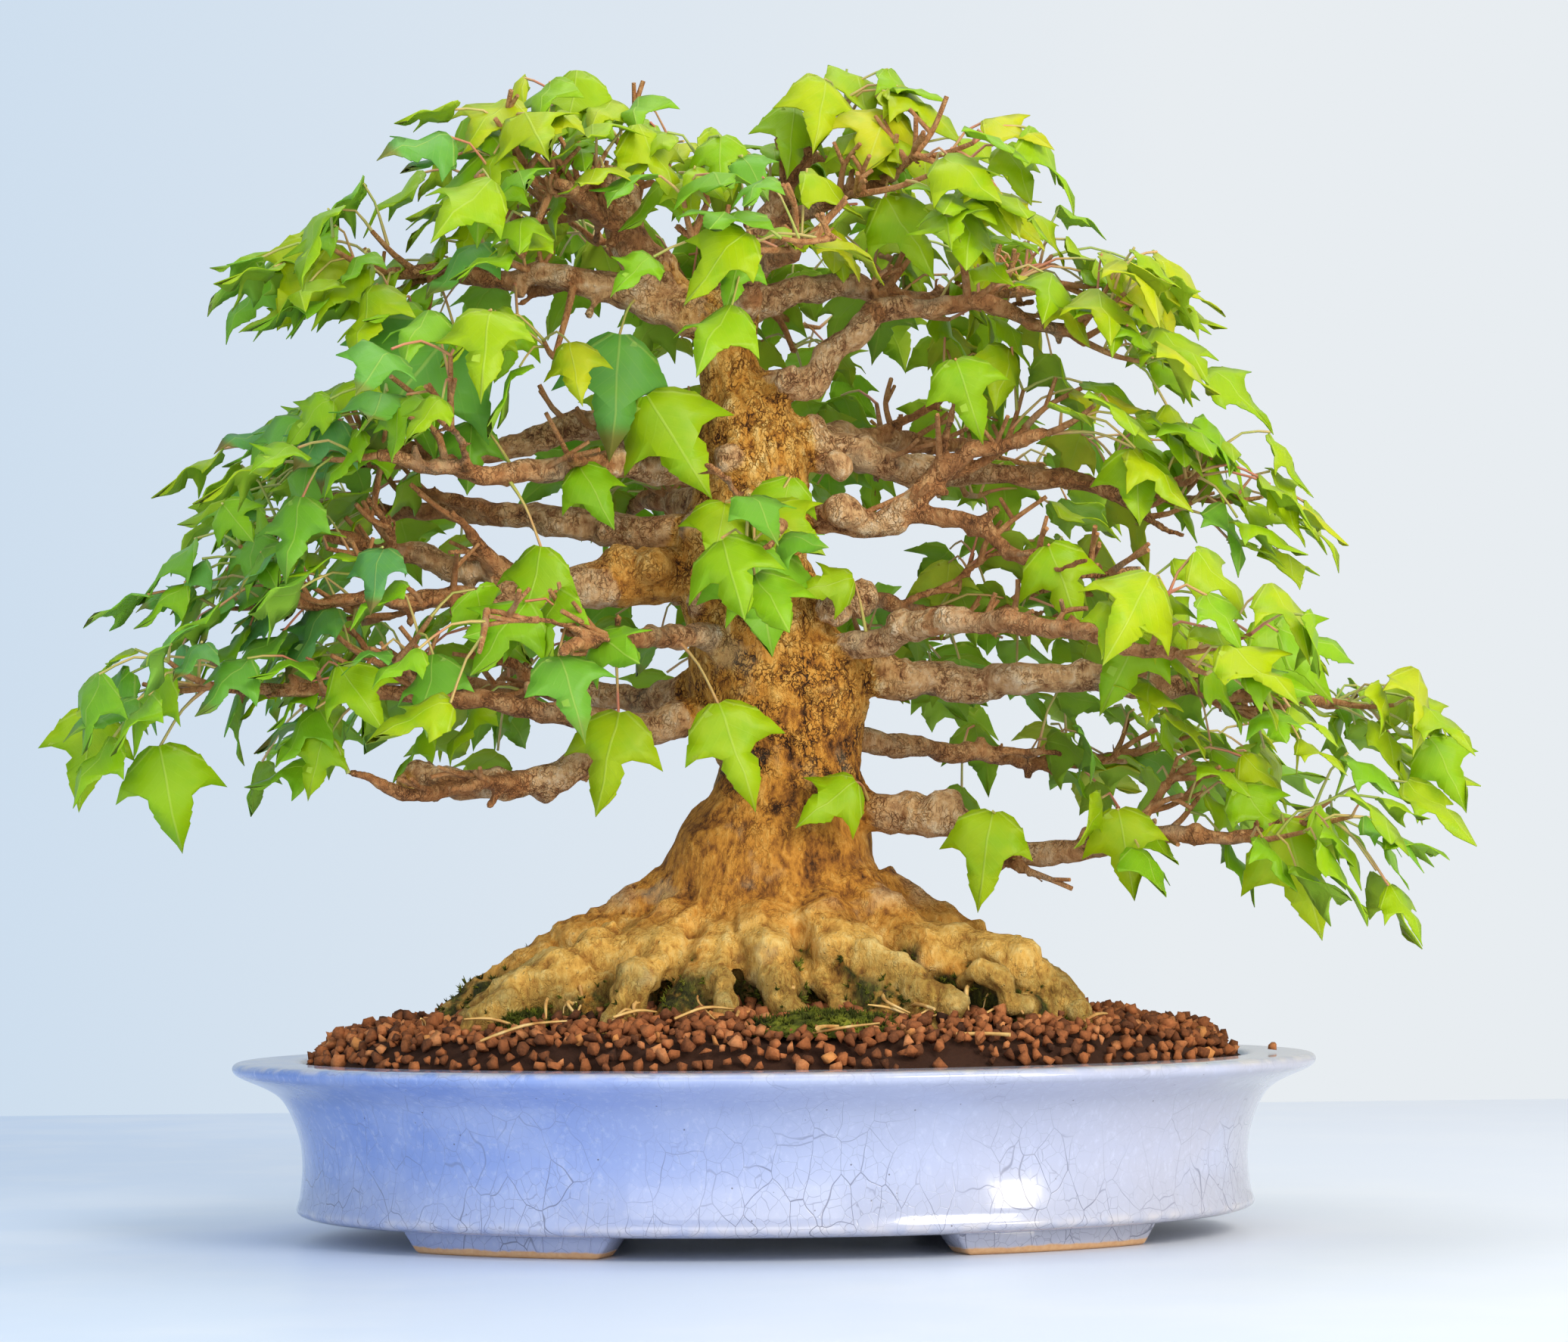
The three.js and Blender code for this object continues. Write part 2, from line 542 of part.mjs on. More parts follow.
function touches(a, b) {
  const p = a.boundingBox();
  const q = b.boundingBox();
  for (let i = 0; i < 3; i++) if (p.min[i] > q.max[i] || q.min[i] > p.max[i]) return false;
  return !a.intersect(b).isEmpty();
}

// ---- the whole object ----
const group = new THREE.Group();
const potBody = makePot();
const woodBody = makeWood();
const roundRoots = union([makeTrunk(gap), ...makeRoots(gap)]);
const soilBody = makeSoil(roundRoots);
const aboveSoil = makeMound(gap); // what lies on the soil stays out of this
const besideRoots = union([makeTrunk(2 * gap), ...makeRoots(2 * gap)]);

group.add(mesh("pot", potBody, looks.glaze));
for (const [end, sy] of [["front", -1], ["back", 1]]) {
  for (const [name, sx] of [["left", -1], ["right", 1]]) {
    group.add(mesh(`foot_${end}_${name}`, makeFoot(sx, sy), looks.glaze));
  }
}
group.add(mesh("soil", soilBody, looks.clay));
group.add(mesh("trunk_and_limbs", woodBody, looks.wood));
for (const [name, side] of [["left", -1], ["right", 1]]) {
  group.add(mesh(`drain_screen_${name}`, makeScreen(side), looks.mesh));
  group.add(mesh(`screen_clip_${name}`, makeClip(side), looks.wire));
}
const onTheSoil = [];
for (const patch of mossPatches) {
  const body = makeMoss(patch, [aboveSoil, besideRoots]);
  onTheSoil.push(body);
  group.add(mesh(patch[0], body, looks.moss));
}
for (const stalk of droppedStalks) {
  const body = makeDroppedStalk(stalk, union([aboveSoil, ...onTheSoil]));
  onTheSoil.push(body);
  group.add(mesh(stalk[0], body, looks.stalk));
}

const shootRandom = dice(5);
const taken = [woodBody, soilBody, potBody, ...onTheSoil]; // what no leaf may touch
for (const [name, points, count] of limbs) {
  const ends = forks.get(name).map(({ end, heading }) => [end, heading]);
  if (count >= 0) {
    const lastTwo = aboveRim(points.slice(-2)).map(([x, y, z]) => new THREE.Vector3(x, y, z));
    const [before, tip] = lastTwo;
    ends.unshift([tip, tip.clone().sub(before).normalize()]);
  }
  ends.forEach(([base, heading], i) => {
    const body = makeShoot(base, heading, taken, shootRandom);
    if (!body) return;
    taken.push(body);
    group.add(mesh(`shoot_${name}_${i + 1}`, body, looks.leaf));
  });
}

// The whole tree stands over the origin by its own outline, whatever the limbs' lengths.
const outline = new THREE.Box3().setFromObject(group);
const middle = outline.getCenter(new THREE.Vector3());
group.position.set(-middle.x, -middle.y, -outline.min.z);

export default group;
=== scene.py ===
import math
import random

import bmesh
import bpy
from mathutils import Matrix, Quaternion, Vector, noise
from mathutils.bvhtree import BVHTree
from mathutils.kdtree import KDTree


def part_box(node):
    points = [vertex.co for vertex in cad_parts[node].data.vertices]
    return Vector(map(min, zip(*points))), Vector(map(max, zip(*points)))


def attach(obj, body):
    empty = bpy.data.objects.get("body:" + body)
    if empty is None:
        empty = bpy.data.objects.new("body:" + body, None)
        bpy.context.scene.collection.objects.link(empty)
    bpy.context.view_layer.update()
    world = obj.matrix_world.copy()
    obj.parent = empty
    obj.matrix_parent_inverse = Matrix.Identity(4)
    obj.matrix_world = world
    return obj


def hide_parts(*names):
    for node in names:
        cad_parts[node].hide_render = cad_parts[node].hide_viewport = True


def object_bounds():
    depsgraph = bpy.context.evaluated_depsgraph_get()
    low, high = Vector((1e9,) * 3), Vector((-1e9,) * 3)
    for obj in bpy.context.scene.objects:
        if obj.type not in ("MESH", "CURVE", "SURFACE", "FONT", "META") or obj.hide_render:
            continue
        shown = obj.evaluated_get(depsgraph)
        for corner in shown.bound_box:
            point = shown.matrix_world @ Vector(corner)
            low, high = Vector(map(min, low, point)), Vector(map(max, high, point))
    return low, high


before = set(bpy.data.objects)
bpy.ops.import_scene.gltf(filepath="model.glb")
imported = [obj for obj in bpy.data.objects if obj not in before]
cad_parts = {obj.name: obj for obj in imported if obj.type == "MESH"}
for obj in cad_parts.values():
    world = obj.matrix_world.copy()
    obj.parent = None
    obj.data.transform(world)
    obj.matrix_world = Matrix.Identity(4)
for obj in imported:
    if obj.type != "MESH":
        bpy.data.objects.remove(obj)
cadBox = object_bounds()

mm = 0.001
potLow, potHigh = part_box("pot")
potMiddle = Vector(((potLow.x + potHigh.x) / 2, (potLow.y + potHigh.y) / 2, 0))
toFrame = Matrix.Translation(potMiddle) @ Matrix.Scale(mm, 4)
toModel = toFrame.inverted()
rimZ = potHigh.z / mm


def nodesNamed(start):
    return sorted(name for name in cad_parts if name.startswith(start))


def boxMiddle(name):
    low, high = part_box(name)
    return toModel @ ((low + high) / 2)


def smoothStep(low, high, value):
    t = min(max((value - low) / (high - low), 0), 1)
    return t * t * (3 - 2 * t)


def smoothThrough(rows, step):
    # a smooth line through rows of numbers that start with x, y, z, with a row every step or so
    rows = [tuple(map(float, row)) for row in rows]
    made = []
    for i in range(len(rows) - 1):
        a, b, c, d = rows[max(i - 1, 0)], rows[i], rows[i + 1], rows[min(i + 2, len(rows) - 1)]
        count = max(1, round(math.dist(b[:3], c[:3]) / step))
        for k in range(count):
            t = k / count
            made.append(
                tuple(
                    0.5
                    * (
                        2 * q
                        + (r - p) * t
                        + (2 * p - 5 * q + 4 * r - s) * t * t
                        + (3 * q - p - 3 * r + s) * t * t * t
                    )
                    for p, q, r, s in zip(a, b, c, d)
                )
            )
    made.append(rows[-1])
    return made


# ---- materials ----
def srgb(red, green, blue):
    def linear(value):
        value /= 255
        return value / 12.92 if value <= 0.04045 else ((value + 0.055) / 1.055) ** 2.4

    return (linear(red), linear(green), linear(blue), 1)


class Look:
    # one material and short ways to add nodes to it
    def __init__(self, name, roughness=0.5, **constants):
        self.material = bpy.data.materials.new(name)
        self.material.use_nodes = True
        self.tree = self.material.node_tree
        self.shader = self.tree.nodes["Principled BSDF"]
        self.shader.inputs["Roughness"].default_value = roughness
        for key, value in constants.items():
            self.shader.inputs[key].default_value = value

    def add(self, kind, inputs=None, **settings):
        made = self.tree.nodes.new(kind)
        for key, value in settings.items():
            setattr(made, key, value)
        for key, value in (inputs or {}).items():
            self.join(value, made.inputs[key])
        return made

    def join(self, value, socket):
        if isinstance(value, bpy.types.NodeSocket):
            self.tree.links.new(value, socket)
        else:
            socket.default_value = value

    def place(self, scale=(1, 1, 1)):
        # the model's own millimetres, stretched by a scale
        coords = self.add("ShaderNodeTexCoord").outputs["Object"]
        scaled = tuple(s / mm for s in scale)
        shift = tuple(-p * s for p, s in zip(potMiddle, scaled))
        return self.add(
            "ShaderNodeMapping", {"Vector": coords, "Location": shift, "Scale": scaled}
        ).outputs["Vector"]

    def attribute(self, name):
        return self.add("ShaderNodeAttribute", attribute_name=name).outputs["Fac"]

    def maths(self, operation, a, b=0.0, clamp=False):
        made = self.add("ShaderNodeMath", {0: a, 1: b}, operation=operation, use_clamp=clamp)
        return made.outputs[0]

    def remap(self, value, low, high, toLow=0.0, toHigh=1.0, smooth=True):
        made = self.add(
            "ShaderNodeMapRange",
            {"Value": value, "From Min": low, "From Max": high, "To Min": toLow, "To Max": toHigh},
            interpolation_type="SMOOTHSTEP" if smooth else "LINEAR",
        )
        return made.outputs["Result"]

    def noise(self, vector, scale, detail=3.0, rough=0.55):
        made = self.add(
            "ShaderNodeTexNoise",
            {"Vector": vector, "Scale": scale, "Detail": detail, "Roughness": rough},
        )
        return made.outputs["Fac"]

    def cells(self, vector, scale, feature="DISTANCE_TO_EDGE", output="Distance"):
        made = self.add(
            "ShaderNodeTexVoronoi", {"Vector": vector, "Scale": scale}, feature=feature
        )
        return made.outputs[output]

    def warped(self, vector, scale, amount):
        shove = self.add("ShaderNodeTexNoise", {"Vector": vector, "Scale": scale, "Detail": 2.0})
        centred = self.add(
            "ShaderNodeVectorMath",
            {0: shove.outputs["Color"], 1: (-0.5, -0.5, -0.5)},
            operation="ADD",
        )
        made = self.add(
            "ShaderNodeVectorMath",
            {0: centred.outputs[0], 1: (amount, amount, amount), 2: vector},
            operation="MULTIPLY_ADD",
        )
        return made.outputs[0]

    def ramp(self, value, stops):
        made = self.add("ShaderNodeValToRGB", {"Fac": value})
        elements = made.color_ramp.elements
        while len(elements) < len(stops):
            elements.new(0.5)
        for element, (position, colour) in zip(elements, stops):
            element.position = position
            element.color = colour
        return made.outputs["Color"]

    def mix(self, factor, a, b, blend="MIX"):
        made = self.add(
            "ShaderNodeMix",
            {0: factor, 6: a, 7: b},
            data_type="RGBA",
            blend_type=blend,
        )
        return made.outputs[2]

    def colour(self, value):
        self.join(value, self.shader.inputs["Base Color"])

    def rough(self, value):
        self.join(value, self.shader.inputs["Roughness"])

    def bump(self, height, depth, strength=1.0):
        made = self.add(
            "ShaderNodeBump", {"Height": height, "Distance": depth * mm, "Strength": strength}
        )
        self.join(made.outputs["Normal"], self.shader.inputs["Normal"])


def glazeLook():
    look = Look("crackleGlaze", 0.16, **{"Coat Weight": 0.5, "Coat Roughness": 0.06})
    point = look.place()
    height = look.add("ShaderNodeSeparateXYZ", {0: point}).outputs["Z"]
    across = look.add("ShaderNodeSeparateXYZ", {0: point}).outputs["X"]
    # the glaze is painted darker and bluer towards the left and paler to the right: partly the glaze's own
    # blue-to-lavender shift, and partly painted shade on the left side, which gets less light
    body = look.ramp(
        look.remap(across, -170, 170, smooth=False),
        [
            (0.0, srgb(104, 134, 200)),
            (0.28, srgb(138, 160, 218)),
            (0.55, srgb(174, 182, 212)),
            (1.0, srgb(182, 182, 196)),
        ],
    )
    cloud = look.noise(point, 0.035, 4)
    body = look.mix(look.remap(cloud, 0.42, 0.75, 0, 0.45), body, srgb(184, 194, 226))
    # milky curds where the glaze pooled
    curd = look.noise(look.place((1, 1, 0.7)), 0.42, 5, 0.7)
    body = look.mix(look.remap(curd, 0.5, 0.72, 0, 0.3), body, srgb(208, 215, 238))
    # greyer towards the bead, where the glaze ran thin
    body = look.mix(look.remap(height, 32, 10, 0, 0.45), body, srgb(176, 176, 186))
    # thin on the edges, where the clay warms it
    lip = look.remap(height, rimZ - 2.6, rimZ - 0.6)
    bead = look.remap(look.maths("ABSOLUTE", look.maths("SUBTRACT", height, 9.0)), 3.4, 0.6)
    thin = look.maths("MAXIMUM", look.maths("MULTIPLY", lip, 0.55), look.maths("MULTIPLY", bead, 0.4))
    thin = look.maths("MULTIPLY", thin, look.remap(look.noise(point, 0.12, 3), 0.35, 0.65))
    body = look.mix(thin, body, srgb(222, 212, 204))
    # crackle: long upright cracks and a fine net between them, strongest low on the side
    bent = look.warped(look.place((1, 1, 0.55)), 0.06, 7.0)
    wide = look.remap(look.cells(bent, 0.1), 0.002, 0.014, 1, 0)
    bentFine = look.warped(look.place((1, 1, 0.85)), 0.15, 3.0)
    fine = look.remap(look.cells(bentFine, 0.26), 0.004, 0.03, 0.5, 0)
    low = look.remap(height, 14, 52, 1, 0.35)
    crack = look.maths("MULTIPLY", look.maths("MAXIMUM", wide, fine), low)
    patchy = look.remap(look.noise(point, 0.03, 2), 0.35, 0.6, 0.25, 1)
    crack = look.maths("MULTIPLY", crack, patchy)
    body = look.mix(look.maths("MULTIPLY", crack, 0.75), body, srgb(84, 86, 108))
    speck = look.remap(look.cells(point, 0.16, "F1"), 0.03, 0.06, 0.75, 0)
    body = look.mix(speck, body, srgb(70, 62, 66))
    # the bare clay of the feet
    ragged = look.maths("ADD", height, look.maths("MULTIPLY", look.noise(point, 0.18, 3), 1.8))
    bare = look.remap(ragged, 3.4, 2.6)
    clay = look.mix(look.noise(point, 0.6, 4), srgb(196, 140, 92), srgb(226, 186, 138))
    look.colour(look.mix(bare, body, clay))
    look.rough(look.remap(bare, 0, 1, 0.16, 0.8))
    wave = look.noise(point, 0.05, 2)
    look.bump(look.maths("SUBTRACT", wave, look.maths("MULTIPLY", crack, 0.12)), 0.9, 0.6)
    return look.material


def barkLook():
    look = Look("bark", 0.82, **{"Specular IOR Level": 0.3})
    point = look.place()
    reliefAndPaintedLight = look.attribute("reliefAndPaintedLight")
    girth = look.attribute("girth")
    pale = look.attribute("pale")
    moss = look.attribute("moss")
    grain = look.noise(look.place((1, 1, 0.45)), 0.55, 6, 0.65)
    flaky = look.attribute("flaky")
    curl = look.noise(look.place((1, 1, 0.7)), 0.2, 2.5, 0.6)
    crumb = look.noise(look.place((1.2, 1.2, 0.9)), 0.5, 2.5, 0.6)
    curlEdge = look.remap(look.maths("ABSOLUTE", look.maths("SUBTRACT", curl, 0.5)), 0.0, 0.035, 1, 0)
    crumbEdge = look.remap(look.maths("ABSOLUTE", look.maths("SUBTRACT", crumb, 0.5)), 0.0, 0.05, 0.8, 0)
    edge = look.maths("MAXIMUM", curlEdge, crumbEdge)
    pores = look.remap(look.cells(look.warped(point, 0.3, 2.0), 0.42, "F1"), 0.08, 0.2, 1, 0)
    broken = look.remap(look.noise(point, 0.13, 3), 0.38, 0.62, 0.15, 1)
    edge = look.maths("MULTIPLY", look.maths("MULTIPLY", edge, broken), look.remap(flaky, 0, 1, 0.22, 1))
    # the bark's relief value also carries painted light, which lightens the upper trunk
    shade = look.maths(
        "ADD",
        look.maths("MULTIPLY", reliefAndPaintedLight, 0.62),
        look.maths("MULTIPLY", look.maths("SUBTRACT", grain, 0.5), 1.0),
    )
    shade = look.maths("SUBTRACT", shade, look.maths("MULTIPLY", edge, 0.46))
    shade = look.maths("ADD", shade, look.maths("MULTIPLY", pores, 0.16))
    shade = look.maths("ADD", shade, 0.56, clamp=True)
    trunk = look.ramp(
        shade,
        [
            (0.0, srgb(64, 36, 14)),
            (0.2, srgb(146, 90, 32)),
            (0.42, srgb(204, 138, 50)),
            (0.7, srgb(230, 174, 86)),
            (1.0, srgb(246, 212, 140)),
        ],
    )
    limb = look.ramp(
        shade,
        [
            (0.0, srgb(78, 48, 30)),
            (0.26, srgb(156, 106, 66)),
            (0.55, srgb(214, 168, 116)),
            (1.0, srgb(240, 216, 180)),
        ],
    )
    twig = look.ramp(shade, [(0.0, srgb(92, 56, 32)), (0.5, srgb(176, 118, 70)), (1.0, srgb(222, 172, 116))])
    root = look.ramp(
        shade,
        [
            (0.0, srgb(72, 44, 18)),
            (0.28, srgb(176, 120, 48)),
            (0.56, srgb(230, 178, 86)),
            (1.0, srgb(246, 216, 140)),
        ],
    )
    colour = look.mix(look.remap(girth, 0.05, 0.2), twig, limb)
    colour = look.mix(look.remap(girth, 0.35, 0.8), colour, trunk)
    colour = look.mix(pale, colour, root)
    # lichen grey in patches, and olive green to near black under the moss mask: real moss, and painted shade in the
    # hollows and under the roots
    lichen = look.remap(look.noise(point, 0.05, 4), 0.56, 0.7, 0, 0.35)
    colour = look.mix(lichen, colour, srgb(176, 170, 140))
    mossAndShade = look.maths("MULTIPLY", moss, look.remap(look.noise(point, 0.16, 5), 0.3, 0.52, 0.3, 1))
    colour = look.mix(mossAndShade, colour, look.ramp(grain, [(0.35, srgb(22, 20, 8)), (0.55, srgb(66, 66, 18)), (0.75, srgb(124, 120, 40))]))
    look.colour(colour)
    plates = look.maths("MULTIPLY", look.maths("SUBTRACT", 1.0, edge), 0.9)
    plates = look.maths("ADD", plates, look.maths("MULTIPLY", pores, 0.3))
    look.bump(look.maths("ADD", look.maths("MULTIPLY", grain, 1.0), plates), 1.6, 1.0)
    return look.material


def leafLook(under=False):
    look = Look(
        "leafUnder" if under else "leafTop",
        0.66 if under else 0.44,
        **{"Specular IOR Level": 0.24, "Subsurface Weight": 0.15, "Subsurface Radius": (0.004, 0.006, 0.001), "Subsurface Scale": 0.4},
    )
    tone = look.attribute("tone")
    uv = look.add("ShaderNodeUVMap", uv_map="bladeUv").outputs["UV"]
    parts = look.add("ShaderNodeSeparateXYZ", {0: uv})
    side = look.maths("ABSOLUTE", look.maths("SUBTRACT", parts.outputs["X"], 0.5))
    along = parts.outputs["Y"]
    # the tone carries painted light and shade from where a leaf hangs, as well as the leaf's own tone
    green = look.ramp(
        tone,
        [
            (0.0, srgb(90, 148, 78)),
            (0.16, srgb(100, 160, 54)),
            (0.36, srgb(126, 176, 16)),
            (0.6, srgb(148, 180, 6)),
            (0.84, srgb(168, 186, 8)),
            (1.0, srgb(188, 188, 22)),
        ],
    )
    patch = look.noise(look.place(), 0.09, 4)
    green = look.mix(look.remap(patch, 0.42, 0.7, 0, 0.35), green, srgb(104, 166, 14))
    # three main veins from the stalk, and finer ones between them
    middle = look.remap(side, 0.004, 0.014, 1, 0)
    slant = look.maths("ABSOLUTE", look.maths("SUBTRACT", look.maths("MULTIPLY", side, 0.62), along))
    lobe = look.maths("MULTIPLY", look.remap(slant, 0.006, 0.02, 0.9, 0), look.remap(along, 0.36, 0.3))
    comb = look.maths("SINE", look.maths("MULTIPLY", look.maths("SUBTRACT", along, look.maths("MULTIPLY", side, 0.9)), 62))
    comb = look.remap(comb, 0.86, 1.0, 0, 0.16)
    vein = look.maths("MAXIMUM", look.maths("MAXIMUM", middle, lobe), comb)
    colour = look.mix(look.maths("MULTIPLY", vein, 0.28), green, srgb(190, 206, 100))
    # the tips of some leaves have browned
    old = look.maths("MULTIPLY", look.remap(along, 0.72, 0.86), look.remap(tone, 0.3, 0.05))
    colour = look.mix(look.maths("MULTIPLY", old, 0.7), colour, srgb(130, 84, 40))
    if under:
        colour = look.mix(0.35, colour, srgb(160, 192, 80))
    look.colour(colour)
    look.bump(look.maths("ADD", vein, look.noise(look.place(), 0.5, 3)), 0.25, 0.5)
    return look.material


def stalkLook():
    look = Look("leafStalk", 0.5, **{"Subsurface Weight": 0.1, "Subsurface Scale": 0.4})
    tint = look.noise(look.place(), 0.035, 2)
    colour = look.ramp(
        tint,
        [
            (0.36, srgb(160, 178, 60)),
            (0.5, srgb(206, 176, 96)),
            (0.62, srgb(206, 120, 84)),
        ],
    )
    look.colour(colour)
    look.bump(look.noise(look.place((1, 1, 0.3)), 1.2, 2), 0.15, 0.5)
    return look.material


def soilLook(name, stops):
    look = Look(name, 0.92, **{"Specular IOR Level": 0.25})
    point = look.place()
    tone = look.attribute("tone")
    speckle = look.noise(point, 0.9, 4, 0.7)
    shade = look.maths("ADD", tone, look.maths("MULTIPLY", look.maths("SUBTRACT", speckle, 0.5), 0.5), clamp=True)
    look.colour(look.ramp(shade, stops))
    look.bump(speckle, 0.6, 0.8)
    return look.material


def mossLook():
    look = Look("moss", 0.95, **{"Specular IOR Level": 0.2})
    shade = look.noise(look.place(), 0.16, 5, 0.65)
    look.colour(
        look.ramp(
            shade,
            [(0.3, srgb(34, 34, 12)), (0.48, srgb(72, 78, 22)), (0.62, srgb(120, 124, 36)), (0.8, srgb(164, 156, 62))],
        )
    )
    look.bump(look.noise(look.place(), 1.1, 3), 0.6, 0.8)
    return look.material


def strawLook():
    look = Look("dryStraw", 0.6)
    shade = look.noise(look.place(), 0.14, 3)
    look.colour(look.ramp(shade, [(0.35, srgb(176, 122, 60)), (0.55, srgb(222, 178, 104)), (0.75, srgb(240, 214, 156))]))
    look.bump(look.noise(look.place((1, 1, 2)), 1.4, 2), 0.12, 0.5)
    return look.material


def screenLook():
    look = Look("drainScreen", 0.55)
    worn = look.noise(look.place(), 0.4, 4)
    look.colour(look.ramp(worn, [(0.35, srgb(26, 30, 34)), (0.7, srgb(58, 60, 60))]))
    look.bump(worn, 0.2, 0.6)
    return look.material


def wireLook():
    look = Look("clipWire", 0.42, Metallic=0.9)
    worn = look.noise(look.place(), 0.5, 4)
    look.colour(look.ramp(worn, [(0.35, srgb(110, 104, 96)), (0.6, srgb(168, 168, 166))]))
    look.rough(look.remap(worn, 0.35, 0.7, 0.3, 0.6))
    look.bump(look.noise(look.place(), 2.0, 2), 0.1, 0.4)
    return look.material


print("materials")
glaze = glazeLook()
bark = barkLook()
leafTop = leafLook()
leafUnder = leafLook(under=True)
stalk = stalkLook()
grain = soilLook(
    "akadamaGrain",
    [
        (0.0, srgb(54, 32, 22)),
        (0.3, srgb(118, 70, 42)),
        (0.6, srgb(174, 104, 60)),
        (0.85, srgb(206, 138, 88)),
        (1.0, srgb(218, 146, 82)),
    ],
)
ground = soilLook("soilBed", [(0.0, srgb(34, 20, 14)), (0.6, srgb(70, 42, 28)), (1.0, srgb(96, 60, 40))])
moss = mossLook()
straw = strawLook()


# ---- making pieces ----
def meshFrom(bm, name):
    mesh = bpy.data.meshes.new(name)
    bm.to_mesh(mesh)
    bm.free()
    return mesh


def makePiece(name, bm, looks, replaces=()):
    bmesh.ops.transform(bm, matrix=toFrame, verts=bm.verts)
    mesh = meshFrom(bm, name)
    for look in looks:
        mesh.materials.append(look)
    mesh.shade_smooth()
    piece = bpy.data.objects.new(name, mesh)
    bpy.context.scene.collection.objects.link(piece)
    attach(piece, "root")
    if replaces:
        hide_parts(*replaces)
    return piece


def settled(mesh, addModifiers):
    # the mesh after modifiers, which a passing object carries
    carrier = bpy.data.objects.new("carrier", mesh)
    bpy.context.scene.collection.objects.link(carrier)
    addModifiers(carrier)
    bpy.context.view_layer.update()
    seen = carrier.evaluated_get(bpy.context.evaluated_depsgraph_get())
    made = bpy.data.meshes.new_from_object(seen)
    bpy.data.objects.remove(carrier)
    return made


def tubesMesh(paths, resolution=1):
    # round closed tubes along paths of x, y, z, radius
    curve = bpy.data.curves.new("tubes", "CURVE")
    curve.dimensions = "3D"
    curve.bevel_depth = 1
    curve.bevel_resolution = resolution
    curve.use_fill_caps = True
    for path in paths:
        spline = curve.splines.new("POLY")
        spline.points.add(len(path) - 1)
        for dot, (x, y, z, radius) in zip(spline.points, path):
            dot.co = (x, y, z, 1)
            dot.radius = radius
    carrier = bpy.data.objects.new("tubes", curve)
    bpy.context.scene.collection.objects.link(carrier)
    bpy.context.view_layer.update()
    seen = carrier.evaluated_get(bpy.context.evaluated_depsgraph_get())
    made = bpy.data.meshes.new_from_object(seen)
    bpy.data.objects.remove(carrier)
    bpy.data.curves.remove(curve)
    return made


def scatter(variants, places, chunk=60):
    # copies of small meshes, each at a matrix and with its own tone
    whole = bmesh.new()
    for start in range(0, len(places), chunk):
        bm = bmesh.new()
        tone = bm.verts.layers.float.new("tone")
        for kind, matrix, value in places[start : start + chunk]:
            old = len(bm.verts)
            bm.from_mesh(variants[kind % len(variants)])
            bm.verts.ensure_lookup_table()
            new = bm.verts[old:]
            bmesh.ops.transform(bm, matrix=matrix, verts=new)
            for vert in new:
                vert[tone] = value
        part = meshFrom(bm, "part")
        whole.from_mesh(part)
        bpy.data.meshes.remove(part)
    return whole


def turned(direction, around=0.0):
    # a rotation that takes +z to a direction, after a turn about z
    return (direction.to_track_quat("Z", "Y") @ Quaternion((0, 0, 1), around)).to_matrix().to_4x4()


# ---- pot ----
pot = {
    "turns": 72,
    "smoothing": 2,
    "floor": 7,
    "wall": 7.5,
    "lipWidth": 21.5,
    "lipDrop": 5,
    "waistInset": 23,
    "beadHeight": 5.2,
    "beadOut": 2,
    "drainRadius": 10,
    "drainOffset": 48,
    "footRound": 1.3,
    "footRise": 0.9,
}
halfLength = (potHigh.x - potLow.x) / 2 / mm
halfDepth = (potHigh.y - potLow.y) / 2 / mm
underside = potLow.z / mm
waist = halfLength - pot["waistInset"]
opening = halfLength - pot["lipWidth"]
depthLoss = halfLength - halfDepth  # the oval is this much shorter along y
ovalFrom = depthLoss * 1.6


def toOval(vector):
    # takes a point of a round pot to the oval one
    r = math.hypot(vector.x, vector.y)
    if r < 1e-6:
        return
    depth = r - depthLoss if r > ovalFrom else r * (ovalFrom - depthLoss) / ovalFrom
    vector.y *= depth / r


def spunOval(profile, turns):
    bm = bmesh.new()
    verts = [bm.verts.new((r, 0, z)) for r, z in profile]
    edges = [bm.edges.new(pair) for pair in zip(verts, verts[1:])]
    bmesh.ops.spin(
        bm, geom=verts + edges, axis=(0, 0, 1), cent=(0, 0, 0), angle=2 * math.pi, steps=turns, use_merge=True
    )
    bmesh.ops.remove_doubles(bm, verts=bm.verts, dist=0.001)
    for vert in bm.verts:
        toOval(vert.co)
    bmesh.ops.recalc_face_normals(bm, faces=bm.faces)
    return bm


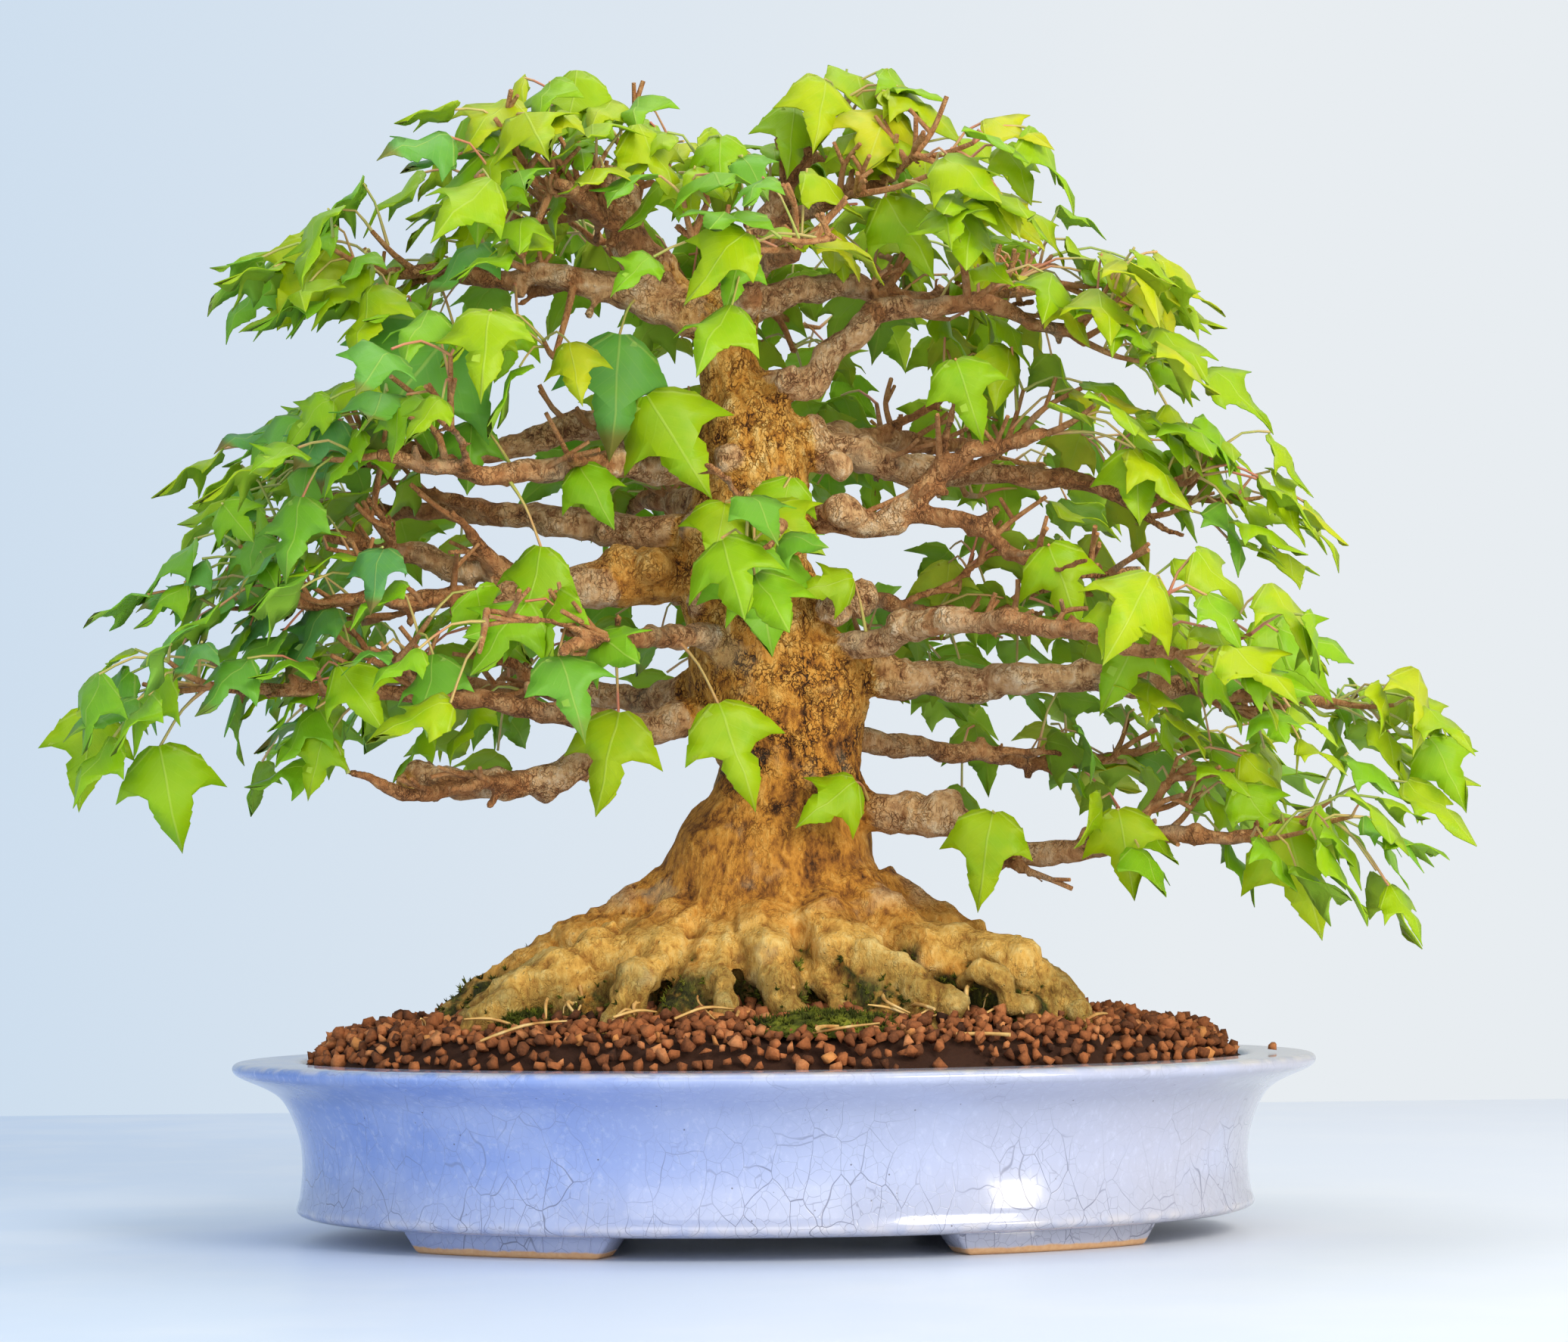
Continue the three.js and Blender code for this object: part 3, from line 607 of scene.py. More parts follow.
def makePot():
    floorTop = underside + pot["floor"]
    inner = waist - pot["wall"]
    bead = underside + pot["beadHeight"]
    lipUnder = rimZ - pot["lipDrop"]
    profile = [
        (0, underside),
        (pot["drainOffset"] * 2, underside),
        (waist - 6, underside),
        (waist - 2.5, underside + 0.1),
        (waist + pot["beadOut"] - 0.4, underside + 1.4),
        (waist + pot["beadOut"] + 0.3, underside + 3),
        (waist + pot["beadOut"] - 0.2, bead - 0.6),
        (waist + 1.1, bead + 1.2),
        (waist + 0.8, bead + 3.4),
        (waist + 0.2, bead + 8.5),
        (waist, bead + 14),
        (waist + 0.8, bead + 20.5),
        (waist + 2.6, bead + 26),
        (waist + 6.2, lipUnder - 7.2),
        (waist + 11.5, lipUnder - 3.9),
        (halfLength - 5, lipUnder - 1.2),
        (halfLength - 1.2, lipUnder + 0.4),
        (halfLength + 0.1, lipUnder + 2.3),
        (halfLength - 0.5, rimZ - 0.9),
        (halfLength - 3, rimZ),
        (opening + 6, rimZ - 0.2),
        (opening + 0.8, rimZ - 0.1),
        (opening - 0.8, rimZ - 1.2),
        (opening - 2, rimZ - 4),
        (inner + 1, lipUnder - 7),
        (inner, floorTop + 7),
        (inner - 5, floorTop + 1),
        (inner - 9, floorTop),
        (pot["drainOffset"] * 1.6, floorTop),
        (0, floorTop),
    ]
    shell = meshFrom(spunOval(profile, pot["turns"]), "shell")
    cutters = bmesh.new()
    for side in (-1, 1):
        bmesh.ops.create_cone(
            cutters,
            cap_ends=True,
            segments=48,
            radius1=pot["drainRadius"] + 0.6,
            radius2=pot["drainRadius"],
            depth=pot["floor"] * 3,
            matrix=Matrix.Translation((side * pot["drainOffset"], 0, underside + pot["floor"] / 2)),
        )
    drill = bpy.data.objects.new("drill", meshFrom(cutters, "drill"))
    bpy.context.scene.collection.objects.link(drill)

    def finish(carrier):
        soft = carrier.modifiers.new("smooth", "SUBSURF")
        soft.levels = soft.render_levels = pot["smoothing"]
        cut = carrier.modifiers.new("drains", "BOOLEAN")
        cut.operation = "DIFFERENCE"
        cut.object = drill

    made = settled(shell, finish)
    bpy.data.objects.remove(drill)
    bm = bmesh.new()
    bm.from_mesh(made)
    makePiece("pot_body", bm, [glaze], ["pot"])


def makeFeet():
    for name in nodesNamed("foot_"):
        bm = bmesh.new()
        bm.from_mesh(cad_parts[name].data)
        bmesh.ops.transform(bm, matrix=toModel, verts=bm.verts)
        bmesh.ops.remove_doubles(bm, verts=bm.verts, dist=0.01)
        bmesh.ops.dissolve_limit(bm, angle_limit=math.radians(1), verts=bm.verts, edges=bm.edges)
        top = max(vert.co.z for vert in bm.verts)
        for vert in bm.verts:
            if vert.co.z > top - 0.5:
                vert.co.z += pot["footRise"]
        bmesh.ops.bevel(
            bm,
            geom=bm.edges[:],
            offset=pot["footRound"],
            segments=3,
            profile=0.5,
            affect="EDGES",
            material=-1,
            clamp_overlap=True,
        )
        low = min(vert.co.z for vert in bm.verts)
        for vert in bm.verts:
            if vert.co.z > low + 0.3:
                vert.co += vert.normal * 0.25 * noise.noise(vert.co * 0.12)
        makePiece(name + "_glazed", bm, [glaze], [name])


print("pot")
makePot()
makeFeet()


# ---- wood ----
# Heights of the tree are above the pot's rim, as it stands in the soil.
wood = {
    "seed": 4,
    "voxel": 1.15,
    "soften": 3,
    "triangles": 188000,
    "wiggle": 1.6,
    "stubs": 190,
    "burls": 110,
    "forks": 2,  # on each limb
    # trunk sections: x and y of the middle, height, half-width, half-depth
    "trunk": [
        (-4, 0, -8, 57, 46),
        (-4, 0, 7.5, 58, 47),
        (-3, 0, 23.5, 56, 46),
        (-2, 0, 35.5, 50, 43),
        (-1, 0, 43.5, 46, 41),
        (-1, 0, 51.5, 42, 38),
        (-2.5, 0, 60.5, 36.5, 34),
        (0, 0, 73, 32.5, 30),
        (5, 0, 84, 27, 26.5),
        (6.5, 0, 93.5, 23.8, 24.5),
        (4.5, 0, 103.5, 25.6, 25.5),
        (2.7, 0, 114.5, 29.3, 27.5),
        (2, 0, 126.5, 29.5, 27.5),
        (-2.5, 0, 138.5, 25.5, 25.5),
        (-6, 0, 152.5, 24, 23.5),
        (-9, 0, 165.5, 22, 22),
        (-7, 0, 179.5, 20, 20.5),
        (-5, 0, 192.5, 17.8, 18.5),
        (-6, 0, 206.5, 18, 17.5),
        (-8, 0, 216.5, 15.2, 15),
        (-12, 0, 224.5, 11.6, 12),
        (-14.5, 0, 233.5, 10.2, 10.5),
        (-15, 0, 241.5, 11.2, 11.2),
        (-15, 0, 248.5, 8.5, 8.5),
    ],
    "roots": [
        [(-30, -6, 49.5, 15), (-52, -8, 36.5, 14), (-74, -10, 26.5, 13), (-94, -12, 15.5, 11), (-107, -13, 3.5, 7)],
        [(-26, -20, 43.5, 14), (-46, -34, 28.5, 13), (-62, -46, 14.5, 11), (-72, -54, 0.5, 8)],
        [(-12, -26, 43.5, 11), (-22, -43, 28.5, 9.5), (-30, -57, 13.5, 7.5), (-34, -66, -0.5, 5.5)],
        [(-4, -27, 46.5, 12.5), (-3, -43, 33.5, 11), (0, -55, 19.5, 8.5), (4, -64, 3.5, 6)],
        [(10, -26, 46.5, 13), (19, -42, 34.5, 12), (29, -56, 20.5, 10), (38, -68, 2.5, 7)],
        [(24, -18, 49.5, 13), (44, -30, 36.5, 12), (64, -42, 23.5, 10), (84, -52, 9.5, 7), (94, -58, -1.5, 5)],
        [(30, -4, 49.5, 15), (52, -7, 36.5, 14), (72, -9, 27.5, 12), (87, -10, 16.5, 10), (98, -11, 1.5, 7)],
        [(22, 18, 47.5, 14), (44, 36, 32.5, 12), (64, 52, 16.5, 10), (76, 62, 0.5, 7)],
        [(-2, 26, 46.5, 14), (-4, 46, 31.5, 12), (-6, 64, 14.5, 9), (-6, 76, -0.5, 6)],
        [(-24, 16, 47.5, 14), (-46, 34, 32.5, 12), (-66, 50, 17.5, 10), (-80, 60, 1.5, 7)],
    ],
    # the paler fingers over the big roots' ends
    "fingers": [
        [(-50, -30, 38, 7), (-64, -42, 31, 8.5), (-80, -48, 22, 8), (-92, -50, 13, 7), (-102, -50, 2, 5)],
        [(-32, -34, 37, 7), (-39, -48, 30, 6.5), (-46, -58, 21, 6), (-53, -67, 9, 4.5), (-57, -72, 1, 3)],
        [(-14, -36, 40, 5), (-17, -50, 31, 5), (-16, -60, 21, 4), (-19, -68, 9, 3)],
        [(-6, -36, 42, 6), (-3, -50, 35, 6), (0, -60, 25, 5.5), (3, -67, 12, 4)],
        [(8, -36, 40, 6), (22, -48, 36, 6), (36, -57, 30, 5.5), (48, -63, 23, 4.5), (58, -68, 14, 3.5)],
        [(12, -44, 31, 4.5), (16, -58, 20, 4.5), (20, -66, 9, 3.5)],
        [(48, -30, 38, 7), (64, -42, 33, 7.5), (78, -48, 26, 7), (92, -52, 16, 5), (100, -54, 5, 4)],
        [(58, -50, 24, 2.6), (63, -57, 28, 3.1), (69, -61, 26, 3.2), (75, -62, 20, 3), (81, -61, 19, 2.4)],
        [(36, -50, 27, 5), (44, -60, 17, 4.5), (50, -68, 7, 3.5)],
        [(-70, -34, 30, 7), (-86, -36, 21, 7), (-100, -34, 10, 5)],
        [(74, -24, 30, 7), (88, -28, 21, 6.5), (99, -30, 9, 4.5)],
    ],
    # knobs where limbs join or were cut: x, y, height, radius
    "knobs": [
        (-50, -9, 158, 10.5), (-38, -12, 160, 9), (24, -14, 178, 8), (30, -8, 150, 7), (37, -6, 125, 9),
        (20, -20, 146, 7), (-24, -14, 172, 8), (-22, -16, 148, 8), (26, -10, 84, 8), (22, -17, 193, 6.5),
        (-12, -17, 196, 7), (6, -16, 222, 5.5), (-31, -8, 246, 8), (-16, -18, 133, 6), (12, -24, 118, 5),
        (-22, -14, 104, 6), (56, -20, 80, 7.5), (-54, 2, 174, 6.5), (32, 2, 200, 7), (14, 0, 206, 7),
    ],
}
# Limbs: points of x, y, height and radius, from inside the trunk outwards.
limbs = {
    "right_low": [(18, -8, 82.5, 7.4), (50, -18, 78, 6.6), (75, -26, 68, 5.2), (92, -30, 66.5, 4), (130, -38, 69.5, 3), (164, -42, 73.5, 2)],
    "right_low_back": [(16, 12, 106.5, 4.8), (60, 45, 102.5, 3.6), (105, 80, 100.5, 2.6), (140, 98, 102.5, 1.8)],
    "right_main": [(22, 0, 129.5, 9), (45, -2, 123, 6.8), (90, -8, 122.5, 5.2), (118, -12, 122.5, 4.4), (150, -14, 118.5, 3.2), (181, -14, 114.5, 2)],
    "right_front": [(18, -12, 131.5, 5.4), (55, -45, 138.5, 4.2), (90, -78, 133.5, 3.1), (122, -102, 125.5, 2)],
    "right_thin": [(14, 10, 144.5, 3.4), (34, 22, 151, 3), (62, 46, 148.5, 2.4), (96, 78, 147.5, 1.8)],
    "right_forked": [(2, -2, 175.5, 5.8), (22, -6, 175.5, 5.2), (36, -9, 173.5, 4.8), (48, -11, 183.5, 4.1), (66, -14, 196.5, 3.2), (92, -20, 203.5, 2)],
    "right_hanging": [(44, -10, 178.5, 3.6), (67, -22, 172.5, 3), (82, -30, 161.5, 2.4), (104, -40, 155.5, 1.8)],
    "right_upper": [(6, 0, 199, 7.2), (28, 2, 200.5, 6), (44, 4, 194.5, 5.4), (74, 10, 193.5, 4), (108, 16, 189.5, 3), (144, 20, 184.5, 2)],
    "right_high": [(-4, -4, 220.5, 6.4), (14, -6, 221.5, 5.6), (22, -7, 233.5, 5), (42, -10, 247.5, 4.2), (75, -12, 245.5, 3), (108, -12, 233.5, 2)],
    "right_top": [(-12, 2, 246.5, 6.4), (5, 4, 251.5, 5.4), (23, 8, 256.5, 4.6), (48, 14, 250.5, 3.6), (76, 20, 254.5, 2.8), (98, 24, 259.5, 1.9)],
    "leader": [(-15, 0, 241.5, 7.4), (-9, 0, 261.5, 5.8), (-1, 1, 275.5, 4.6), (8, 2, 289.5, 3.4), (16, 4, 305.5, 2)],
    "leader_right": [(-4, 0, 269.5, 3.8), (18, -16, 279.5, 3), (42, -28, 287.5, 2)],
    "cut_leader": [(-18, 0, 242.5, 9.4), (-33, -2, 251.5, 8.6), (-41, -3, 265.5, 7.4), (-48, -3, 281.5, 6.6), (-55, -4, 294.5, 6)],
    "cut_leader_back": [(-45, -2, 274.5, 3.8), (-62, 14, 283.5, 2.8), (-78, 28, 287.5, 1.9)],
    "cut_leader_front": [(-42, -4, 267.5, 3.6), (-58, -28, 277.5, 2.7), (-70, -46, 280.5, 1.9)],
    "left_top": [(-18, -2, 241.5, 8.4), (-33, -6, 248, 7.4), (-58, -9, 254.5, 5), (-78, -10, 258, 4), (-102, -12, 256.5, 2.9), (-124, -14, 259.5, 1.9)],
    "back_top": [(-12, 6, 239.5, 6.2), (-9, 32, 249.5, 4.6), (-2, 62, 258.5, 3.3), (6, 88, 260.5, 2)],
    "front_top": [(-11, -6, 237.5, 5.2), (-5, -28, 247.5, 4), (4, -52, 256.5, 3), (10, -74, 257.5, 1.9)],
    "left_upper": [(-18, 2, 199.5, 6.8), (-42, 2, 203.5, 5.6), (-62, 1, 208.5, 5), (-86, -3, 201.5, 4.2), (-106, -6, 197.5, 3.2), (-132, -10, 201.5, 2)],
    "left_upper_front": [(-16, -6, 191.5, 6.2), (-45, -18, 193.5, 4.8), (-75, -36, 189.5, 3.9), (-102, -54, 188.5, 2.9), (-126, -68, 192.5, 1.9)],
    "left_middle": [(-22, 4, 171.5, 7.2), (-50, 6, 174.5, 6.2), (-66, 8, 178, 5.4), (-92, 14, 179.5, 4.3), (-126, 24, 184.5, 3), (-152, 32, 188.5, 1.9)],
    "left_main": [(-20, -2, 157.5, 9.4), (-42, -5, 158.5, 9.4), (-54, -7, 157.5, 8.6), (-67, -8, 154.5, 5.8), (-92, -8, 158, 5), (-122, -8, 164.5, 3.8), (-150, -9, 173.5, 2)],
    "left_main_lower": [(-56, -9, 154.5, 5.2), (-86, -15, 152.5, 4), (-120, -23, 149.5, 3), (-158, -32, 148.5, 1.9)],
    "left_low_back": [(-20, 6, 121.5, 6), (-43, 18, 118.5, 5), (-80, 40, 122.5, 3.9), (-116, 60, 128.5, 2.9), (-148, 74, 127.5, 1.9)],
    "left_low": [(-18, -4, 113.5, 6.8), (-45, -14, 104.5, 5.8), (-70, -22, 92.5, 5.4), (-98, -28, 90, 5), (-122, -32, 88.5, 4.2)],
    "left_low_outer": [(-38, -11, 107.5, 4.6), (-74, -22, 113.5, 3.8), (-118, -34, 117.5, 2.8), (-180, -44, 119.5, 1.9)],
    "back_low": [(0, 18, 136.5, 7.4), (6, 46, 141.5, 5.6), (13, 76, 145.5, 4.2), (19, 98, 142.5, 3), (22, 116, 139.5, 2)],
    "back_middle": [(-14, 14, 181.5, 6.4), (-26, 46, 187.5, 4.8), (-40, 76, 191.5, 3.4), (-49, 98, 190.5, 2)],
    "back_right": [(2, 14, 203.5, 6), (30, 44, 209.5, 4.4), (60, 76, 211.5, 3.2), (84, 98, 208.5, 2)],
    "front_small": [(-4, -16, 167.5, 3.4), (1, -36, 170.5, 2.6), (4, -52, 167.5, 1.8)],
    "front_left": [(-16, -14, 137.5, 4.8), (-34, -42, 136.5, 3.7), (-54, -76, 132.5, 2.7), (-66, -104, 127.5, 1.9)],
}
cutLimbs = ("cut_leader", "left_low")


def lifted(rows):
    # heights above the rim become heights above the table
    return [(x, y, z + rimZ, *rest) for x, y, z, *rest in rows]


trunkRows = smoothThrough(lifted(wood["trunk"]), 3)


def wiggled(path, amount, seed):
    # a limb's small bends, none at its start
    made = []
    for i, (x, y, z, radius) in enumerate(path):
        place = Vector((x, y, z)) * 0.055 + Vector((seed * 7.1, 0, 0))
        grow = min(i / 8, 1) * amount
        shove = noise.noise_vector(place) * 2.6 * grow + noise.noise_vector(place * 3.1) * 1.0 * grow
        bulge = 1 + 0.13 * noise.noise(place * 4.3)
        made.append((x + shove.x, y + shove.y, z + shove.z, radius * bulge))
    return made


def trunkShare(point):
    # how far out a point is, as a share of the trunk's own radius there
    row = min(trunkRows, key=lambda r: abs(r[2] - point.z))
    if point.z > trunkRows[-1][2] + 4:
        return 9.0
    return math.hypot((point.x - row[0]) / row[3], (point.y - row[1]) / row[4])


def trunkSolid():
    bm = bmesh.new()
    rows = smoothThrough(lifted(wood["trunk"]), 4)
    bmesh.ops.create_circle(bm, cap_ends=True, radius=1, segments=48)
    cap = next(iter(bm.faces))
    for vert in cap.verts:
        x, y, z, width, depth = rows[0]
        vert.co = (x + vert.co.x * width, y + vert.co.y * depth, z)
    for before, row in zip(rows, rows[1:]):
        grown = bmesh.ops.extrude_face_region(bm, geom=[cap])["geom"]
        cap = next(part for part in grown if isinstance(part, bmesh.types.BMFace))
        for vert in cap.verts:
            across = (vert.co.x - before[0]) / before[3]
            deep = (vert.co.y - before[1]) / before[4]
            vert.co = (row[0] + across * row[3], row[1] + deep * row[4], row[2])
    bmesh.ops.recalc_face_normals(bm, faces=bm.faces)
    return bm


limbPaths = {
    name: wiggled(smoothThrough(lifted(points), 4), wood["wiggle"], i)
    for i, (name, points) in enumerate(limbs.items())
}


def forkPath(path, dice):
    # a side branch from the outer part of a limb, thinner and bending up a little
    i = dice.randrange(len(path) // 3, len(path) * 4 // 5)
    base, along = Vector(path[i][:3]), (Vector(path[i + 1][:3]) - Vector(path[i][:3])).normalized()
    side = along.cross(Vector((0, 0, 1))).normalized() * dice.choice((-1, 1))
    heading = (along * 0.8 + side * dice.uniform(0.3, 1) + Vector((0, 0, dice.uniform(-0.35, 0.5)))).normalized()
    length = dice.uniform(24, 46)
    thick = max(1.5, path[i][3] * 0.55)
    bend = base + heading * length * 0.5 + side * dice.uniform(-4, 4) + Vector((0, 0, dice.uniform(-3, 2)))
    tip = base + heading * length + Vector((0, 0, dice.uniform(0, 6)))
    return smoothThrough([(*base, thick), (*bend, thick * 0.85), (*tip, 1.3)], 4)


forkDice = random.Random(wood["seed"] + 2)
for forkName in [name for name in limbs for _ in range(wood["forks"])]:
    fork = wiggled(forkPath(limbPaths[forkName], forkDice), 1.2, len(limbPaths))
    limbPaths[f"{forkName}_fork{len(limbPaths)}"] = fork


def stubPaths(dice):
    # short snags along the limbs, left from earlier pruning
    made = []
    names = list(limbPaths)
    for _ in range(wood["stubs"]):
        path = limbPaths[dice.choice(names)]
        i = dice.randrange(len(path) // 4, len(path) - 2)
        base = Vector(path[i][:3])
        along = (Vector(path[i + 1][:3]) - base).normalized()
        out = along.orthogonal().normalized()
        out.rotate(Quaternion(along, dice.uniform(0, 6.28)))
        heading = (out + along * dice.uniform(0.2, 0.9)).normalized()
        length = path[i][3] + dice.uniform(2.5, 8)
        thick = min(path[i][3] * 0.55, dice.uniform(1.5, 2.4))
        steps = [base + heading * length * t for t in (0, 0.5, 0.85, 1)]
        made.append([(*p, thick * s) for p, s in zip(steps, (1, 0.95, 1.05, 0.85))])
    return made


def fusedWood():
    dice = random.Random(wood["seed"])
    rootPaths = [wiggled(smoothThrough(lifted(points), 4), 1.0, 40 + i) for i, points in enumerate(wood["roots"])]
    fingerPaths = [wiggled(smoothThrough(lifted(points), 3), 1.3, 60 + i) for i, points in enumerate(wood["fingers"])]
    bm = trunkSolid()
    tubes = tubesMesh([*limbPaths.values(), *rootPaths, *fingerPaths, *stubPaths(dice)], 2)
    bm.from_mesh(tubes)
    names = list(limbPaths)
    for _ in range(wood["burls"]):
        x, y, z, radius = dice.choice(limbPaths[dice.choice(names)][3:])
        shift = Vector((dice.uniform(-1, 1), dice.uniform(-1, 1), dice.uniform(-1, 1))) * radius * 0.45
        place = Matrix.Translation(Vector((x, y, z)) + shift)
        bmesh.ops.create_icosphere(bm, subdivisions=1, radius=radius * dice.uniform(1.1, 1.35), matrix=place)
    for x, y, z, radius in lifted(wood["knobs"]):
        squash = Matrix.Diagonal((dice.uniform(0.75, 1), dice.uniform(0.6, 0.9), dice.uniform(0.7, 1), 1))
        bmesh.ops.create_icosphere(bm, subdivisions=2, radius=radius, matrix=Matrix.Translation((x, y, z)) @ squash)

    def fuse(carrier):
        remesh = carrier.modifiers.new("fuse", "REMESH")
        remesh.mode = "VOXEL"
        remesh.voxel_size = wood["voxel"]
        soften = carrier.modifiers.new("soften", "SMOOTH")
        soften.factor = 0.5
        soften.iterations = wood["soften"]

    whole = settled(meshFrom(bm, "wood"), fuse)
    count = sum(len(face.vertices) - 2 for face in whole.polygons)
    print("wood before thinning", count, "triangles")

    def thin(carrier):
        fewer = carrier.modifiers.new("thin", "DECIMATE")
        fewer.ratio = min(1, wood["triangles"] / count)

    return settled(whole, thin), fingerPaths, rootPaths


barkLayers = ("reliefAndPaintedLight", "girth", "pale", "moss", "flaky")  # what the bark's look follows


def shapeBark(mesh, fingerPaths):
    # lumps, plates and grooves on the fused wood, and what the bark's colours follow
    samples = [dot for path in limbPaths.values() for dot in path]
    tree = KDTree(len(samples))
    for i, dot in enumerate(samples):
        tree.insert(dot[:3], i)
    tree.balance()
    pads = [dot for path in fingerPaths for dot in path[2:]]
    padTree = KDTree(len(pads))
    for i, dot in enumerate(pads):
        padTree.insert(dot[:3], i)
    padTree.balance()
    cuts = [Vector(limbPaths[name][-1][:3]) for name in cutLimbs]
    for name in barkLayers:
        mesh.attributes.new(name, "FLOAT", "POINT")
    layers = {name: mesh.attributes[name].data for name in barkLayers}
    moved = []
    for i, vert in enumerate(mesh.vertices):
        point, out = vert.co.copy(), vert.normal.copy()
        share = trunkShare(point)
        onTrunk = 1 - smoothStep(1.05, 1.3, share) if point.z > 84 else 0.0
        low = 1 - smoothStep(96, 124, point.z)
        _, k, _ = tree.find(point)
        radius = samples[k][3]
        body = max(onTrunk, low)
        girth = max(body, smoothStep(1.6, 11, radius) * 0.8)
        muscle = noise.fractal(point * 0.04, 1, 2, 3)
        lump = noise.fractal(point * 0.11, 1, 2, 2)
        knob = noise.noise(point * 0.24)
        fine = noise.fractal(point * 0.42, 1, 2, 3)
        stretched = Vector((point.x, point.y, point.z * 0.7)) * 0.14
        stretched += noise.noise_vector(point * 0.12) * 0.35
        near = noise.voronoi(stretched)[0]
        plate = min((near[1] - near[0]) * 3.2, 1)
        rough = smoothStep(128, 158, point.z + 14 * noise.noise(point * 0.05)) * onTrunk
        shove = body * (muscle * 2.4 + lump * 0.8) + (1 - body) * (lump + knob * 0.6) * min(radius * 0.26, 1.4)
        shove += rough * (plate - 0.6) * 1.0 + fine * (0.22 + 0.5 * rough)
        shove += low * (lump * 1.6 + fine * 0.5)
        reliefAndPaintedLight = lump * 0.4 + fine * 0.4 + rough * (plate - 0.75) * 0.35
        # the flare above the roots is made darker, and the upper trunk is painted lightest: painted light that lifts it
        # out of the crown's shadow
        waist = smoothStep(98, 112, point.z) * smoothStep(186, 150, point.z)
        reliefAndPaintedLight += body * (0.16 * smoothStep(186, 220, point.z) - 0.3 * waist)
        _, p, padGap = padTree.find(point)
        pale = (1 - smoothStep(pads[p][3] * 1.0, pads[p][3] * 1.9, padGap)) * smoothStep(112, 96, point.z)
        for cut in cuts:
            pale = max(pale, 1 - smoothStep(4, 6, (point - cut).length))
        # moss sits in the hollows between the fingers and near the soil; the same mask darkens the hollows and the
        # faces that turn downwards, so it is painted shade as well as real moss
        crevice = smoothStep(0.3, -0.2, lump + out.z * 0.25)
        skirt = smoothStep(95, 80, point.z + 12 * noise.noise(point * 0.07))
        mossAndShade = low * smoothStep(110, 88, point.z) * max(crevice * (1 - pale * 0.92), skirt * (1 - pale * 0.5))
        layers["reliefAndPaintedLight"][i].value = reliefAndPaintedLight
        layers["girth"][i].value = girth
        layers["pale"][i].value = pale
        layers["moss"][i].value = min(max(mossAndShade, 0), 1)
        layers["flaky"][i].value = max(rough, (1 - body) * 0.5)
        moved.append(point + out * shove)
    for vert, place in zip(mesh.vertices, moved):
        vert.co = place
    mesh.update()


def makeWood():
    mesh, fingerPaths, rootPaths = fusedWood()
    shapeBark(mesh, fingerPaths)
    bm = bmesh.new()
    bm.from_mesh(mesh)
    faces = BVHTree.FromBMesh(bm)
    makePiece("trunk_roots_and_limbs", bm, [bark], ["trunk_and_limbs"])
    return faces


print("wood")
woodFaces = makeWood()


# ---- leaves and young twigs ----
foliage = {
    "seed": 21,
    "variants": 12,
    "bladeLong": (19, 31),
    "stalkLong": (12, 28),
    "twigRadius": 1.0,
    "thickness": 0.014,
    "between": 20,  # between side twigs on a limb
    "bareShare": 0.36,  # of a limb, from the trunk
    "sag": 0.9,
    "bareTwigs": 190,
    "openHalf": 112,
    "innerShare": 0.2,
}
# Half of a blade of length 1, from the stalk round the side lobe to the tip.
halfBlade = [
    (0, 0), (0.1, -0.03), (0.24, 0.02), (0.34, 0.12), (0.36, 0.12), (0.41, 0.25), (0.43, 0.26), (0.54, 0.47), (0.4, 0.43),
    (0.27, 0.45), (0.185, 0.52), (0.208, 0.6), (0.178, 0.67), (0.186, 0.69), (0.142, 0.78), (0.147, 0.8),
    (0.09, 0.89), (0.035, 0.98), (0, 1.07),
]


def bladeMesh(seed):
    dice = random.Random(seed)
    wide, sinus = dice.uniform(0.88, 1.12), dice.uniform(-0.04, 0.04)
    fold, curl, droop = dice.uniform(0.04, 0.3), dice.uniform(0.08, 0.4), dice.uniform(-0.05, 0.35)
    twist = dice.uniform(-0.4, 0.4)
    bm = bmesh.new()
    outline = [bm.verts.new((x * wide + (sinus if 0.44 < y < 0.56 and x < 0.3 else 0), y, 0)) for x, y in halfBlade]
    bm.faces.new(outline)
    for height in (0.14, 0.32, 0.5, 0.7):
        bmesh.ops.bisect_plane(bm, geom=bm.verts[:] + bm.edges[:] + bm.faces[:], plane_co=(0, height, 0), plane_no=(0, 1, 0))
    bmesh.ops.bisect_plane(bm, geom=bm.verts[:] + bm.edges[:] + bm.faces[:], plane_co=(0.2, 0, 0), plane_no=(1, 0, 0))
    bmesh.ops.mirror(bm, geom=bm.verts[:] + bm.edges[:] + bm.faces[:], merge_dist=0.001, axis="X")
    bmesh.ops.recalc_face_normals(bm, faces=bm.faces)
    if sum(face.normal.z for face in bm.faces) < 0:
        bmesh.ops.reverse_faces(bm, faces=bm.faces)
    bmesh.ops.solidify(bm, geom=bm.faces[:], thickness=foliage["thickness"])
    bm.normal_update()
    uv = bm.loops.layers.uv.new("bladeUv")
    for face in bm.faces:
        face.material_index = 1 if face.normal.z < -0.5 else 0
        face.smooth = abs(face.normal.z) > 0.5
        for loop in face.loops:
            loop[uv].uv = (0.5 + loop.vert.co.x * 0.9, 0.05 + loop.vert.co.y * 0.9)
    lopsided = [dice.uniform(0.7, 1.3) for _ in range(2)]
    for vert in bm.verts:
        x, y, z = vert.co
        out = abs(x)
        lobe = max(out - 0.18, 0) * lopsided[x > 0]
        z -= fold * out + curl * y * y + droop * lobe * 1.6 + 0.05 * math.sin(y * 9 + x * 6 + seed)
        z += twist * x * y
        vert.co = (x, y * (1 - 0.12 * curl), z)
    return meshFrom(bm, f"blade{seed}")


blades = [bladeMesh(i) for i in range(foliage["variants"])]
limbDots = [(Vector(dot[:3]), dot[3], name, i) for name, path in limbPaths.items() for i, dot in enumerate(path)]
twigPaths = []


